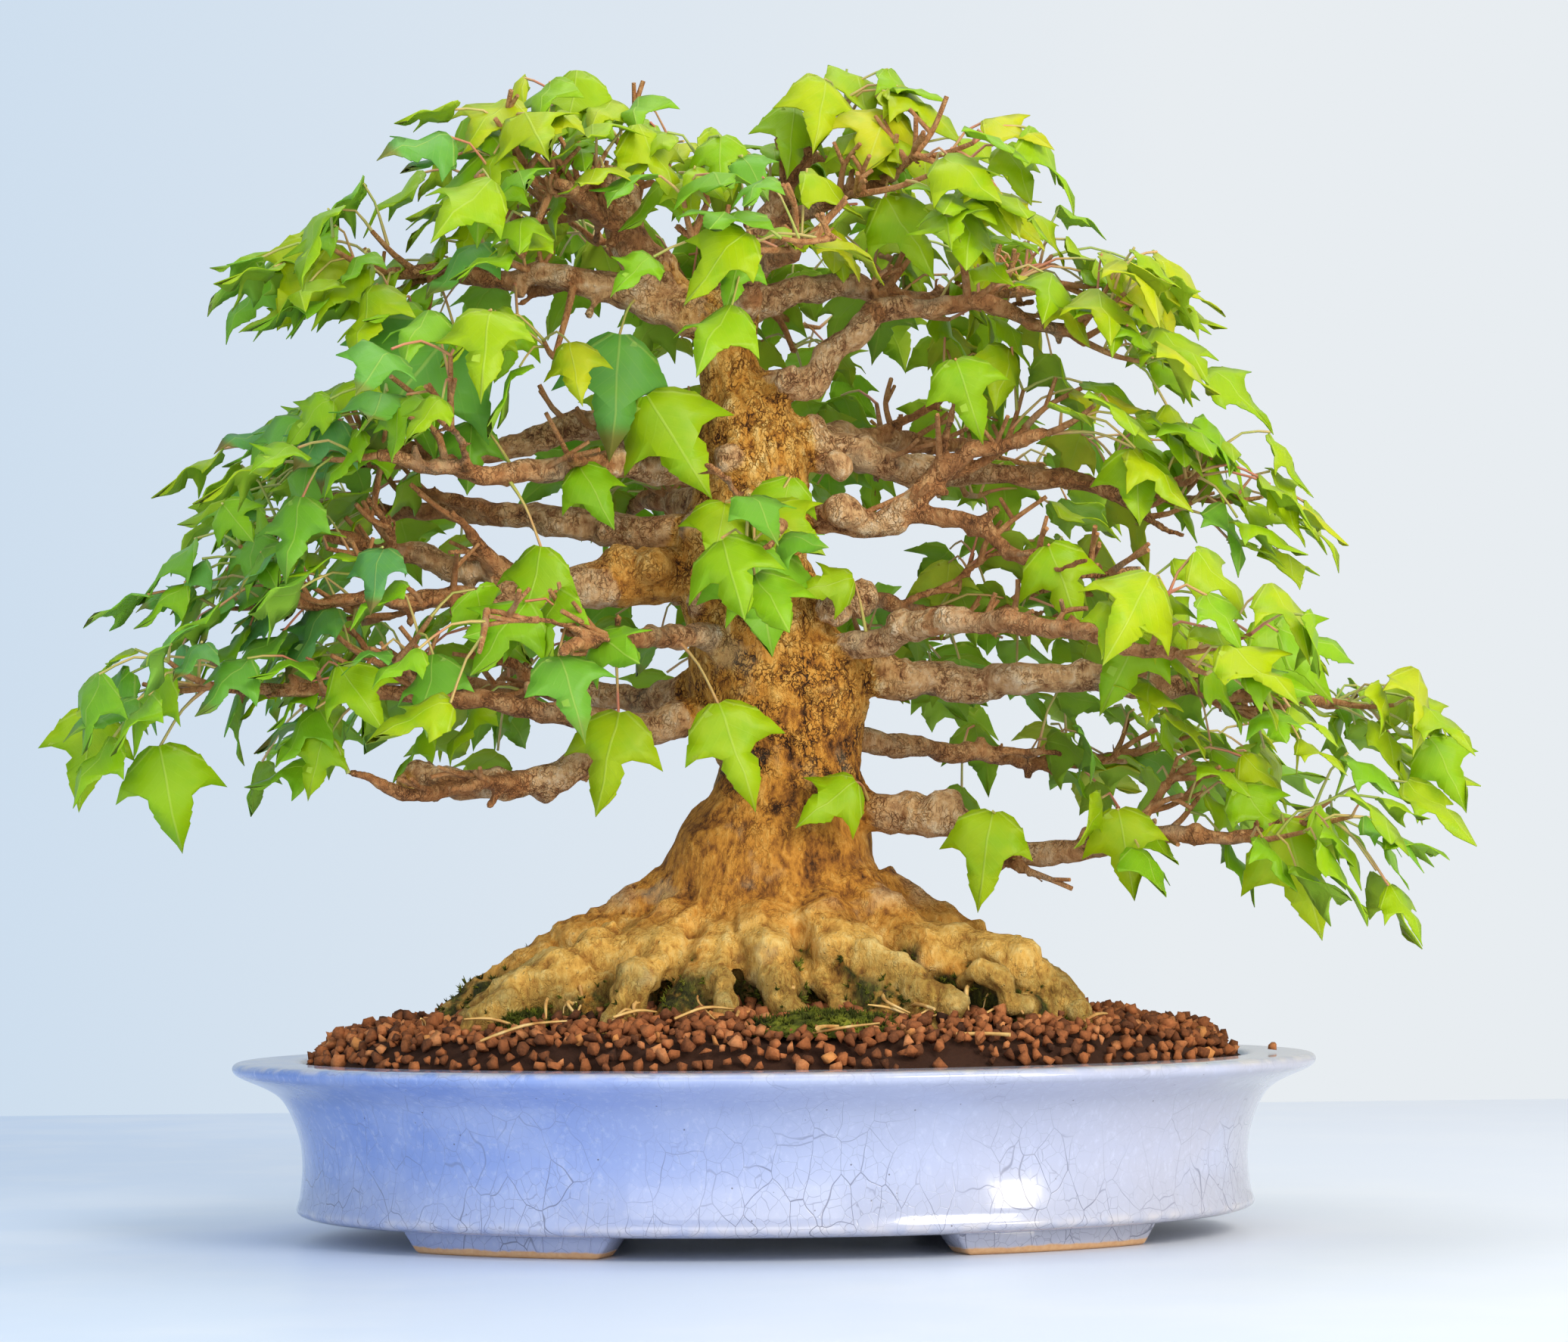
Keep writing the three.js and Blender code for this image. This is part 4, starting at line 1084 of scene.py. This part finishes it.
def outwardFrom(point):
    # away from the crown's middle, turned a little to the front of the tree where it faces it
    centre = Vector((-6, 0, rimZ + 120))
    out = point - centre
    out.z *= 0.5
    if point.y < 25:
        out.y -= 55
    return out.normalized()


def clearOfTrunk(point):
    # the trunk's front shows from the soil to the crown
    inFront = point.y < 0 and -46 < point.x < 42 and point.z < rimZ + 214
    return not inFront


def spray(places, stalks, base, heading, length, dice, pairs=2, tone=0.5, size=1.0, mustClear=True):
    # one young twig with pairs of long-stalked leaves
    lift = Vector((0, 0, 0.25))
    tip = base + (heading + lift * 0.5).normalized() * length
    bend = base.lerp(tip, 0.5) + Vector((0, 0, -1.2))
    thick = foliage["twigRadius"]
    twig = smoothThrough([(*base, thick * 1.25), (*bend, thick), (*tip, thick * 0.75)], 4)
    grown = 0
    for pair in range(pairs + 1):
        share = 1 - 0.36 * pair
        node = base.lerp(tip, max(share, 0.15))
        spin = math.radians(90 * (pair % 2)) + dice.uniform(-0.5, 0.5)
        side = heading.cross(Vector((0, 0, 1))).normalized()
        side.rotate(Quaternion(heading, spin))
        for hand in (-1, 1):
            if dice.random() < 0.26:
                continue
            out = outwardFrom(node)
            away = (heading * 0.5 + side * hand * 0.95 + out * 0.45 + lift * dice.uniform(0, 1.6)).normalized()
            long = dice.uniform(*foliage["stalkLong"])
            foot = node + away * long * 0.5 + Vector((0, 0, 1.5))
            hub = node + away * long + Vector((0, 0, -2.0 - long * 0.08))
            if mustClear and not clearOfTrunk(hub):
                continue
            level = Vector((out.x, out.y, 0)).normalized()
            flat = Vector((away.x, away.y, 0)).normalized()
            drop = dice.uniform(0.1, 1.45) * foliage["sag"]
            lie = (level * 0.5 + flat * 0.65 + Vector((dice.gauss(0, 0.4), dice.gauss(0, 0.3), -drop))).normalized()
            face = out * 0.75 + Vector((dice.gauss(0, 0.34), dice.gauss(0, 0.34), 0.7))
            face = (face - lie * face.dot(lie)).normalized()
            across = lie.cross(face).normalized()
            big = dice.uniform(*foliage["bladeLong"]) * size * (1 - 0.06 * pair)
            frameOf = Matrix((across, lie, face)).transposed().to_4x4()
            matrix = Matrix.Translation(hub) @ frameOf @ Matrix.Scale(big, 4)
            if not insideBox(hub + lie * big):
                continue
            shade = min(max(tone + dice.gauss(0, 0.17), 0), 1)
            places.append((dice.randrange(len(blades)), matrix, shade))
            stalks.append(smoothThrough([(*node, 0.62), (*foot, 0.42), (*hub, 0.46)], 6))
            grown += 1
    if grown:
        twigPaths.append(twig)
    return grown


cadLow, cadHigh = (toModel @ corner for corner in cadBox)


def insideBox(point):
    return all(low + 1 < value < high - 1 for low, value, high in zip(cadLow, point, cadHigh))


def sprayPiece(name, places, stalks, replaces=()):
    bm = scatter(blades, places)
    tubes = tubesMesh(stalks, 0)
    old = len(bm.faces)
    bm.from_mesh(tubes)
    bm.faces.ensure_lookup_table()
    for face in bm.faces[old:]:
        face.material_index = 2
    piece = makePiece(name, bm, [leafTop, leafUnder, stalk], replaces)
    return piece


def toneWithPaintedLightAt(point, dice):
    # yellower and lighter at the right and the top, painted light where the light falls, and deeper green at the left
    # and low down, painted shade; plus a little tone that differs at random
    return 0.5 + point.x / 900 + (point.z - 190) / 1400 + dice.gauss(0, 0.06)


def makeShoots(dice):
    total = 0
    for name in nodesNamed("shoot_"):
        middle = boxMiddle(name)
        spot, _, limb, i = min(limbDots, key=lambda dot: (dot[0] - middle).length)
        heading = (middle - spot).normalized()
        places, stalks = [], []
        length = min((middle - spot).length * 0.75, 24)
        grown = spray(places, stalks, spot, heading, length, dice, 2, toneWithPaintedLightAt(middle, dice), mustClear=False)
        total += grown
        sprayPiece(name.replace("shoot_", "leaves_"), places, stalks, [name])
    return total


def makeSideSprays(dice):
    total = 0
    for name, path in limbPaths.items():
        places, stalks = [], []
        bare = 0.3 if "_fork" in name else foliage["bareShare"]
        start = int(len(path) * bare)
        walked = 0
        hand = 1
        for i in range(start, len(path) - 1):
            here, there = Vector(path[i][:3]), Vector(path[i + 1][:3])
            walked += (there - here).length
            if walked < foliage["between"]:
                continue
            walked = 0
            hand = -hand
            along = (there - here).normalized()
            side = along.cross(Vector((0, 0, 1))).normalized() * hand
            heading = (along * 0.7 + side * dice.uniform(0.5, 1.1) + Vector((0, 0, dice.uniform(-0.2, 0.75)))).normalized()
            length = dice.uniform(12, 30)
            if not clearOfTrunk(here + heading * length):
                continue
            # the middle of the crown is thinned at the front, so that the limbs show
            inner = here.y < 14 and abs(here.x + 6) < foliage["openHalf"] and here.z < rimZ + 236
            if inner and dice.random() > foliage["innerShare"]:
                continue
            total += spray(places, stalks, here, heading, length, dice, dice.choice((1, 2)), toneWithPaintedLightAt(here, dice))
        if places:
            sprayPiece("more_leaves_" + name, places, stalks)
    return total


# Large leaves that stand out: where the blade starts, where it points to, tone.
standout = [
    ((-15, -34, 238), (-19, -42, 219), 0.66), ((-3, -36, 235), (14, -44, 222), 0.7), ((-6, -40, 224), (-1, -46, 192), 0.3),
    ((6, -30, 246), (2, -38, 229), 0.5), ((26, -30, 213), (10, -36, 210), 0.6), ((-50, -44, 170), (-57, -50, 141), 0.72),
    ((-18, -44, 172), (-7, -50, 143), 0.66), ((26, -34, 147), (9, -42, 136), 0.6), ((-143, -20, 326), (-158, -28, 300), 0.82),
    ((-125, -24, 309), (-131, -32, 288), 0.7), ((-102, -44, 295), (-130, -50, 257), 0.14), ((-49, -34, 292), (-50, -42, 258), 0.1),
    ((-40, -30, 273), (-23, -38, 244), 0.6), ((-97, -30, 265), (-98, -38, 244), 0.24), ((38, -30, 337), (53, -36, 316), 0.6),
    ((60, -34, 284), (67, -40, 261), 0.5), ((118, -36, 254), (118, -44, 232), 0.56), ((118, -56, 196), (104, -60, 172), 0.5),
    ((157, -40, 199), (179, -46, 177), 0.52), ((108, -60, 137), (112, -64, 112), 0.78), ((162, -50, 132), (173, -54, 100), 0.8),
    ((69, -50, 137), (63, -56, 110), 0.7), ((-218, -38, 172), (-222, -42, 144), 0.64), ((-196, -44, 160), (-191, -48, 131), 0.5),
    ((-143, -50, 163), (-149, -54, 146), 0.6), ((214, -24, 160), (226, -28, 140), 0.5), ((-82, -30, 300), (-88, -38, 280), 0.4),
    ((-62, -38, 250), (-52, -46, 232), 0.4), ((-74, -50, 222), (-80, -58, 200), 0.5), ((88, -50, 222), (96, -58, 198), 0.62),
]
# Sprays that fill the crown's outline: where they start and the way they go.
fillers = [
    ((-62, -4, 352), (-0.2, -0.2, 1)), ((-34, 2, 346), (0.2, -0.3, 1)), ((-88, -6, 334), (-0.4, -0.3, 0.9)),
    ((40, -14, 346), (0.3, -0.3, 0.9)), ((-20, -30, 336), (-0.2, -0.8, 0.8)), ((-80, -36, 318), (-0.3, -0.9, 0.3)),
    ((-112, -22, 300), (-0.7, -0.6, 0.1)), ((-70, -30, 286), (-0.2, -1, 0.1)), ((-110, -50, 262), (-0.6, -0.8, 0.2)),
    ((60, -30, 322), (0.4, -0.8, 0.3)), ((104, -16, 300), (0.8, -0.5, 0.3)), ((-6, 40, 340), (0, 0.8, 0.7)),
    ((-52, 40, 330), (-0.3, 0.9, 0.5)), ((40, 44, 330), (0.5, 0.8, 0.5)), ((10, 60, 300), (0.1, 1, 0.1)),
    ((-40, 70, 262), (-0.3, 1, 0)), ((70, 70, 250), (0.5, 0.9, 0)), ((-100, 50, 240), (-0.7, 0.7, 0.1)),
    ((110, 60, 214), (0.8, 0.6, 0.1)), ((20, 96, 214), (0.1, 1, 0)), ((-30, 80, 214), (-0.2, 1, 0)),
]


def nearestWood(point):
    return min(limbDots, key=lambda dot: (dot[0] - point).length)[0]


def makeStandoutLeaves():
    dice = random.Random(foliage["seed"] + 3)
    places, stalks = [], []
    for hub, tip, tone in standout:
        hub, tip = Vector(hub), Vector(tip)
        lie = (tip - hub).normalized()
        face = Vector((dice.uniform(-0.25, 0.25), -1, dice.uniform(0.15, 0.5)))
        face = (face - lie * face.dot(lie)).normalized()
        across = lie.cross(face).normalized()
        frameOf = Matrix((across, lie, face)).transposed().to_4x4()
        matrix = Matrix.Translation(hub) @ frameOf @ Matrix.Scale((tip - hub).length * 1.08, 4)
        places.append((dice.randrange(len(blades)), matrix, tone))
        spot = nearestWood(hub)
        bow = spot.lerp(hub, 0.55) + Vector((0, 0, 3))
        stalks.append(smoothThrough([(*spot, 0.8), (*bow, 0.48), (*hub, 0.5)], 4))
    sprayPiece("standout_leaves", places, stalks)


def makeFillers():
    dice = random.Random(foliage["seed"] + 4)
    places, stalks = [], []
    for base, heading in fillers:
        base, heading = Vector(base), Vector(heading).normalized()
        spot = nearestWood(base)
        twigPaths.append(smoothThrough([(*spot, 1.5), (*(spot.lerp(base, 0.5) + Vector((1, -1, 2))), 1.2), (*base, 1)], 4))
        spray(places, stalks, base, heading, dice.uniform(14, 22), dice, 2, toneWithPaintedLightAt(base, dice), mustClear=False)
    sprayPiece("crown_leaves", places, stalks)


def bareTwigs(dice):
    # thin leafless twigs that show inside the crown
    names = list(limbPaths)
    for _ in range(foliage["bareTwigs"]):
        path = limbPaths[dice.choice(names)]
        i = dice.randrange(len(path) // 4, len(path) - 1)
        base = Vector(path[i][:3])
        heading = (outwardFrom(base) + Vector((dice.gauss(0, 0.5), dice.gauss(0, 0.5), dice.uniform(-0.3, 0.9)))).normalized()
        length = dice.uniform(9, 26)
        bend = base + heading * length * 0.5 + Vector((dice.gauss(0, 1.5), dice.gauss(0, 1.5), dice.gauss(0, 1.5)))
        tip = base + heading * length
        if insideBox(tip) and clearOfTrunk(tip):
            twigPaths.append(smoothThrough([(*base, 1.3), (*bend, 0.95), (*tip, 0.8)], 3))
            fork = bend + (heading + Vector((dice.gauss(0, 0.7), dice.gauss(0, 0.7), 0.3))).normalized() * length * 0.45
            twigPaths.append([(*bend, 0.85), (*fork, 0.7)])


def makeTwigs():
    bm = bmesh.new()
    bm.from_mesh(tubesMesh(twigPaths, 1))
    reliefAndPaintedLight = [bm.verts.layers.float.new(name) for name in barkLayers][0]
    for vert in bm.verts:
        vert[reliefAndPaintedLight] = 0.1 + 0.4 * noise.noise(vert.co * 0.6)
    makePiece("young_twigs", bm, [bark])


print("leaves")
leafDice = random.Random(foliage["seed"])
print(makeShoots(leafDice), "leaves on the main shoots")
print(makeSideSprays(leafDice), "leaves on side twigs")
makeStandoutLeaves()
makeFillers()
bareTwigs(leafDice)
makeTwigs()


# ---- soil ----
soil = {
    "seed": 9,
    "shoulder": 8,
    "crown": 17.5,
    "edgeRise": 1.2,
    "grainSize": (1.5, 3.1),
    "pitch": 4.3,
    "loose": 260,
    "tufts": 2600,
    "mossTufts": 420,
    "needles": 11,
    "rootlets": 20,
}


def moundHeight(x, y):
    # the soil's height above the table at a place inside the rim
    r = math.hypot(x, y * opening / (opening - depthLoss))
    steps = [
        (0, soil["crown"]),
        (opening - 70, soil["crown"] * 0.92),
        (opening - 36, soil["shoulder"] * 1.5),
        (opening - 14, soil["shoulder"]),
        (opening - 6, soil["edgeRise"]),
        (opening, -1.5),
    ]
    for (nearR, nearZ), (farR, farZ) in zip(steps, steps[1:]):
        if r <= farR:
            return rimZ + nearZ + (farZ - nearZ) * (r - nearR) / (farR - nearR)
    return rimZ - 1.5


def insideWood(point, margin=0.0):
    place, normal, _, _ = woodFaces.find_nearest(point)
    if place is None:
        return False
    return (point - place).dot(normal) < margin


def makeSoilBed():
    profile = [
        (0, rimZ - 20),
        (opening - 12, rimZ - 20),
        (opening - 3, rimZ - 8),
        (opening - 1.5, rimZ - 2.5),
        (opening - 6, rimZ + soil["edgeRise"] - 1.2),
        (opening - 14, rimZ + soil["shoulder"] - 1.2),
        (opening - 36, rimZ + soil["shoulder"] * 1.5 - 1.2),
        (opening - 70, rimZ + soil["crown"] * 0.92 - 1.2),
        (0, rimZ + soil["crown"] - 1.2),
    ]
    bm = spunOval(profile, 96)
    bmesh.ops.subdivide_edges(bm, edges=bm.edges[:], cuts=2, use_grid_fill=True)
    tone = bm.verts.layers.float.new("tone")
    for vert in bm.verts:
        if vert.co.z > rimZ - 4:
            vert.co.z += 1.0 * noise.fractal(vert.co * 0.25, 1, 2, 2)
        vert[tone] = 0.4
    makePiece("soil_bed", bm, [ground], ["soil"])


def pebble(seed):
    dice = random.Random(seed)
    bm = bmesh.new()
    for _ in range(11):
        spot = Vector((dice.gauss(0, 1), dice.gauss(0, 1), dice.gauss(0, 1))).normalized()
        bm.verts.new(spot * dice.uniform(0.8, 1.1))
    bmesh.ops.convex_hull(bm, input=bm.verts)
    bmesh.ops.recalc_face_normals(bm, faces=bm.faces)
    return meshFrom(bm, f"pebble{seed}")


def grainAt(x, y, z, dice):
    size = dice.uniform(*soil["grainSize"])
    turn = Quaternion((dice.gauss(0, 1), dice.gauss(0, 1), dice.gauss(0, 1), dice.gauss(0, 1))).normalized()
    stretch = Matrix.Diagonal((size, size * dice.uniform(0.75, 1.1), size * dice.uniform(0.65, 0.95), 1))
    tone = min(max(dice.gauss(0.46, 0.17), 0), 1)
    if dice.random() < 0.025:
        tone = 1.0
    return (dice.randrange(8), Matrix.Translation((x, y, z)) @ turn.to_matrix().to_4x4() @ stretch, tone)


def makeGrains():
    dice = random.Random(soil["seed"])
    places = []
    pitch = soil["pitch"]
    ratio = (opening - depthLoss) / opening
    for i in range(-40, 41):
        for j in range(-40, 41):
            x = (i + 0.5 * (j % 2)) * pitch + dice.uniform(-1.4, 1.4)
            y = j * pitch * 0.87 + dice.uniform(-1.4, 1.4)
            if math.hypot(x, y / ratio) > opening - 3.4:
                continue
            z = moundHeight(x, y) + dice.uniform(-0.5, 0.9)
            if not insideWood(Vector((x, y, z + 1)), 0.5):
                places.append(grainAt(x, y, z, dice))
    for _ in range(soil["loose"]):
        a, share = dice.uniform(0, 6.283), math.sqrt(dice.uniform(0.2, 1))
        x, y = (opening - 7) * share * math.cos(a), (opening - 7) * ratio * share * math.sin(a)
        z = moundHeight(x, y) + 2.3
        if not insideWood(Vector((x, y, z)), 1.5):
            places.append(grainAt(x, y, z, dice))
    places.append(grainAt(halfLength - 17, -22, rimZ + 1.6, dice))
    pebbles = [pebble(i) for i in range(8)]
    half = len(places) // 2
    print(len(places), "soil grains")
    for name, share in (("grains_left", places[:half]), ("grains_right", places[half:])):
        makePiece("soil_" + name, scatter(pebbles, share), [grain])


def tuftMesh(seed):
    # a sprig of moss: a few thin leaning cones
    dice = random.Random(seed)
    bm = bmesh.new()
    for _ in range(5):
        lean = Vector((dice.gauss(0, 0.45), dice.gauss(0, 0.45), 1)).normalized()
        long = dice.uniform(1.2, 2.6)
        matrix = Matrix.Translation(lean * long * 0.45) @ turned(lean, dice.uniform(0, 6))
        bmesh.ops.create_cone(bm, cap_ends=True, segments=3, radius1=0.42, radius2=0.06, depth=long, matrix=matrix)
    return meshFrom(bm, f"tuft{seed}")


tufts = [tuftMesh(i) for i in range(6)]


def makeMoss(name, dice):
    bm = bmesh.new()
    bm.from_mesh(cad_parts[name].data)
    bmesh.ops.transform(bm, matrix=toModel, verts=bm.verts)
    bmesh.ops.remove_doubles(bm, verts=bm.verts, dist=0.02)
    bmesh.ops.subdivide_edges(bm, edges=bm.edges[:], cuts=2, use_grid_fill=True)
    bmesh.ops.triangulate(bm, faces=bm.faces[:])
    for _ in range(3):
        bmesh.ops.smooth_vert(bm, verts=bm.verts[:], factor=0.5, use_axis_x=True, use_axis_y=True, use_axis_z=True)
    bm.normal_update()
    for vert in bm.verts:
        vert.co += vert.normal * (1.3 * noise.fractal(vert.co * 0.18, 1, 2, 3) - 0.4)
    bm.normal_update()
    upper = [face for face in bm.faces if face.normal.z > 0.05]
    areas = [face.calc_area() for face in upper]
    places = []
    for face in dice.choices(upper, areas, k=soil["mossTufts"]):
        spot = face.calc_center_median() + Vector((dice.uniform(-0.8, 0.8), dice.uniform(-0.8, 0.8), -0.2))
        size = dice.uniform(0.6, 1.15)
        matrix = Matrix.Translation(spot) @ turned(face.normal, dice.uniform(0, 6)) @ Matrix.Scale(size, 4)
        places.append((dice.randrange(6), matrix, 0.5))
    cover = scatter(tufts, places)
    coverMesh = meshFrom(cover, "cover")
    bm.from_mesh(coverMesh)
    makePiece(name + "_cushion", bm, [moss], [name])


def makeCreviceMoss(dice):
    # moss and fine roots in the hollows between the root fingers
    mesh = bpy.data.objects["trunk_roots_and_limbs"].data
    mossAndShade = mesh.attributes["moss"].data
    wet = [i for i in range(len(mossAndShade)) if mossAndShade[i].value > 0.5]
    places = []
    for i in dice.choices(wet, k=soil["tufts"]):
        vert = mesh.vertices[i]
        spot = toModel @ vert.co
        if spot.z < moundHeight(spot.x, spot.y) - 1 or spot.z > rimZ + 40:
            continue
        size = dice.uniform(0.5, 1.1)
        matrix = Matrix.Translation(spot) @ turned(vert.normal, dice.uniform(0, 6)) @ Matrix.Scale(size, 4)
        places.append((dice.randrange(6), matrix, 0.5))
    print(len(places), "tufts of moss on the roots")
    makePiece("root_moss", scatter(tufts, places), [moss])


def makeStraw(dice):
    paths = []
    for k in range(soil["needles"]):
        a = math.radians(-90 + (k - soil["needles"] / 2) * 11 + dice.uniform(-5, 5))
        r = dice.uniform(0.66, 0.9)
        x, y = opening * r * math.cos(a), (opening - depthLoss) * r * math.sin(a)
        spot = Vector((x, y, moundHeight(x, y) + 2.6))
        turn = dice.uniform(0, 6.283)
        reach = Vector((math.cos(turn), math.sin(turn), dice.uniform(0.0, 0.25))) * dice.uniform(6, 14)
        bow = Vector((dice.uniform(-1, 1), dice.uniform(-1, 1), dice.uniform(0.5, 2)))
        thick = dice.uniform(0.4, 0.62)
        paths.append(smoothThrough([(*(spot - reach), thick), (*(spot + bow), thick * 1.1), (*(spot + reach), thick * 0.6)], 3))
    bm = bmesh.new()
    bm.from_mesh(tubesMesh(paths, 0))
    makePiece("straw_needles", bm, [straw])
    paths = []
    for k in range(soil["rootlets"]):
        x = dice.uniform(-95, 92)
        y = -dice.uniform(56, 76) * math.sqrt(max(0.1, 1 - (x / 120) ** 2))
        top = Vector((x, y, moundHeight(x, y) + dice.uniform(3, 10)))
        end = Vector((x + dice.uniform(-9, 9), y - dice.uniform(2, 9), moundHeight(x, y - 5) + 1.5))
        middle = top.lerp(end, 0.5) + Vector((dice.uniform(-3, 3), dice.uniform(-2, 1), dice.uniform(0, 3)))
        thick = dice.uniform(0.35, 0.85)
        paths.append(wiggled(smoothThrough([(*top, thick), (*middle, thick), (*end, thick * 0.5)], 1.5), 0.7, 90 + k))
    bm = bmesh.new()
    bm.from_mesh(tubesMesh(paths, 0))
    makePiece("fine_rootlets", bm, [straw])


droppedStalks = {"dropped_stalk_front": (62, 14), "dropped_stalk_right": (-18, 17)}  # heading, length


def makeDroppedStalks():
    for name, (heading, length) in droppedStalks.items():
        middle = boxMiddle(name)
        turn = math.radians(heading)
        reach = Vector((math.cos(turn), math.sin(turn), 0)) * length / 2
        bow = Vector((-math.sin(turn), math.cos(turn), 0.3)) * 1.1
        path = smoothThrough([(*(middle - reach), 0.85), (*(middle + bow), 0.6), (*(middle + reach), 0.7)], 1.5)
        bm = bmesh.new()
        bm.from_mesh(tubesMesh([path], 1))
        makePiece(name + "_bent", bm, [straw], [name])


print("soil")
soilDice = random.Random(soil["seed"] + 1)
makeSoilBed()
makeGrains()
for mossNode in nodesNamed("moss_"):
    makeMoss(mossNode, soilDice)
makeCreviceMoss(soilDice)
makeStraw(soilDice)
makeDroppedStalks()
for nodeName, look in (("drain_screen_", screenLook()), ("screen_clip_", wireLook())):
    for name in nodesNamed(nodeName):
        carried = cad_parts[name]
        carried.data.materials.clear()
        carried.data.materials.append(look)


# ---- table, wall and light ----
stage = {
    "tableBack": 775,
    "tableReach": 5000,
    "cameraAway": 1350,
    "cameraTurn": -1.5,
    "cameraHeight": 112.4,
    "aim": (4.25, 0, 184.9),
    "roll": -0.555,
    "lens": 93.8,
    "roomLight": 0.8,
}


def makeTable():
    look = Look("paleTable", 0.38, **{"Specular IOR Level": 0.3})
    point = look.place()
    across = look.add("ShaderNodeSeparateXYZ", {0: point}).outputs["X"]
    # the table is painted bluer and a little darker towards the left: painted shade from the cooler, dimmer light that
    # falls on that side
    tint = look.ramp(look.remap(across, -400, 350, smooth=False), [(0, srgb(206, 222, 244)), (1, srgb(238, 240, 246))])
    look.colour(look.mix(look.remap(look.noise(point, 0.01, 3), 0.4, 0.7, 0, 0.25), tint, srgb(246, 246, 248)))
    look.bump(look.noise(point, 0.02, 2), 0.2, 0.3)
    bm = bmesh.new()
    bmesh.ops.create_grid(bm, x_segments=8, y_segments=8, size=stage["tableReach"])
    for vert in bm.verts:
        vert.co.y = min(vert.co.y, stage["tableBack"])
    bmesh.ops.remove_doubles(bm, verts=bm.verts, dist=0.1)
    bmesh.ops.transform(bm, matrix=toFrame, verts=bm.verts)
    mesh = meshFrom(bm, "table")
    mesh.materials.append(look.material)
    table = bpy.data.objects.new("table", mesh)
    bpy.context.scene.collection.objects.link(table)


def makeWorld():
    world = bpy.data.worlds.new("paleRoom")
    bpy.context.scene.world = world
    world.use_nodes = True
    tree = world.node_tree
    coords = tree.nodes.new("ShaderNodeTexCoord").outputs["Generated"]
    parts = tree.nodes.new("ShaderNodeSeparateXYZ")
    tree.links.new(coords, parts.inputs[0])
    spread = tree.nodes.new("ShaderNodeMapRange")
    spread.inputs["From Min"].default_value = -0.22
    spread.inputs["From Max"].default_value = 0.12
    tree.links.new(parts.outputs["X"], spread.inputs["Value"])
    ramp = tree.nodes.new("ShaderNodeValToRGB")
    ramp.color_ramp.elements[0].color = srgb(200, 219, 238)
    ramp.color_ramp.elements[1].color = srgb(232, 237, 241)
    tree.links.new(spread.outputs["Result"], ramp.inputs["Fac"])
    tree.links.new(ramp.outputs["Color"], tree.nodes["Background"].inputs["Color"])
    # what is seen of the room is brighter than the light it gives
    seen = tree.nodes.new("ShaderNodeLightPath").outputs["Is Camera Ray"]
    strength = tree.nodes.new("ShaderNodeMapRange")
    strength.inputs["To Min"].default_value = stage["roomLight"]
    tree.links.new(seen, strength.inputs["Value"])
    tree.links.new(strength.outputs["Result"], tree.nodes["Background"].inputs["Strength"])


def areaLight(name, place, aim, size, watts, colour):
    data = bpy.data.lights.new(name, "AREA")
    data.shape = "RECTANGLE"
    data.size, data.size_y = size[0] * mm, size[1] * mm
    data.energy = watts
    data.color = colour
    light = bpy.data.objects.new(name, data)
    light.location = toFrame @ Vector(place)
    light.rotation_euler = (Vector(aim) - Vector(place)).to_track_quat("-Z", "Y").to_euler()
    bpy.context.scene.collection.objects.link(light)


def makeCamera():
    data = bpy.data.cameras.new("camera")
    data.lens = stage["lens"]
    data.sensor_width = 36
    data.sensor_fit = "HORIZONTAL"
    turn = math.radians(stage["cameraTurn"])
    place = Vector((math.sin(turn) * stage["cameraAway"] + stage["aim"][0], -math.cos(turn) * stage["cameraAway"], stage["cameraHeight"]))
    camera = bpy.data.objects.new("camera", data)
    camera.location = toFrame @ place
    look = (Vector(stage["aim"]) - place).to_track_quat("-Z", "Y")
    camera.rotation_euler = (look @ Quaternion((0, 0, 1), math.radians(stage["roll"]))).to_euler()
    bpy.context.scene.collection.objects.link(camera)
    bpy.context.scene.camera = camera


print("stage")
makeTable()
makeWorld()
areaLight("keySoftbox", (900, -1300, 1000), (0, 0, 180), (700, 700), 19, (1, 0.95, 0.86))
areaLight("frontFill", (-250, -1900, 420), (0, 0, 200), (1300, 900), 7, (1, 0.97, 0.92))
areaLight("leftFill", (-1500, -900, 500), (0, 0, 150), (1200, 1200), 4, (0.8, 0.89, 1))
areaLight("topLight", (0, 200, 1500), (0, 0, 200), (900, 900), 6, (1, 1, 0.97))
areaLight("window", (1520, -1580, 200), (0, 0, 60), (330, 380), 7, (1, 0.9, 0.7))
makeCamera()
bpy.context.scene.view_settings.view_transform = "Standard"

print("finishing")
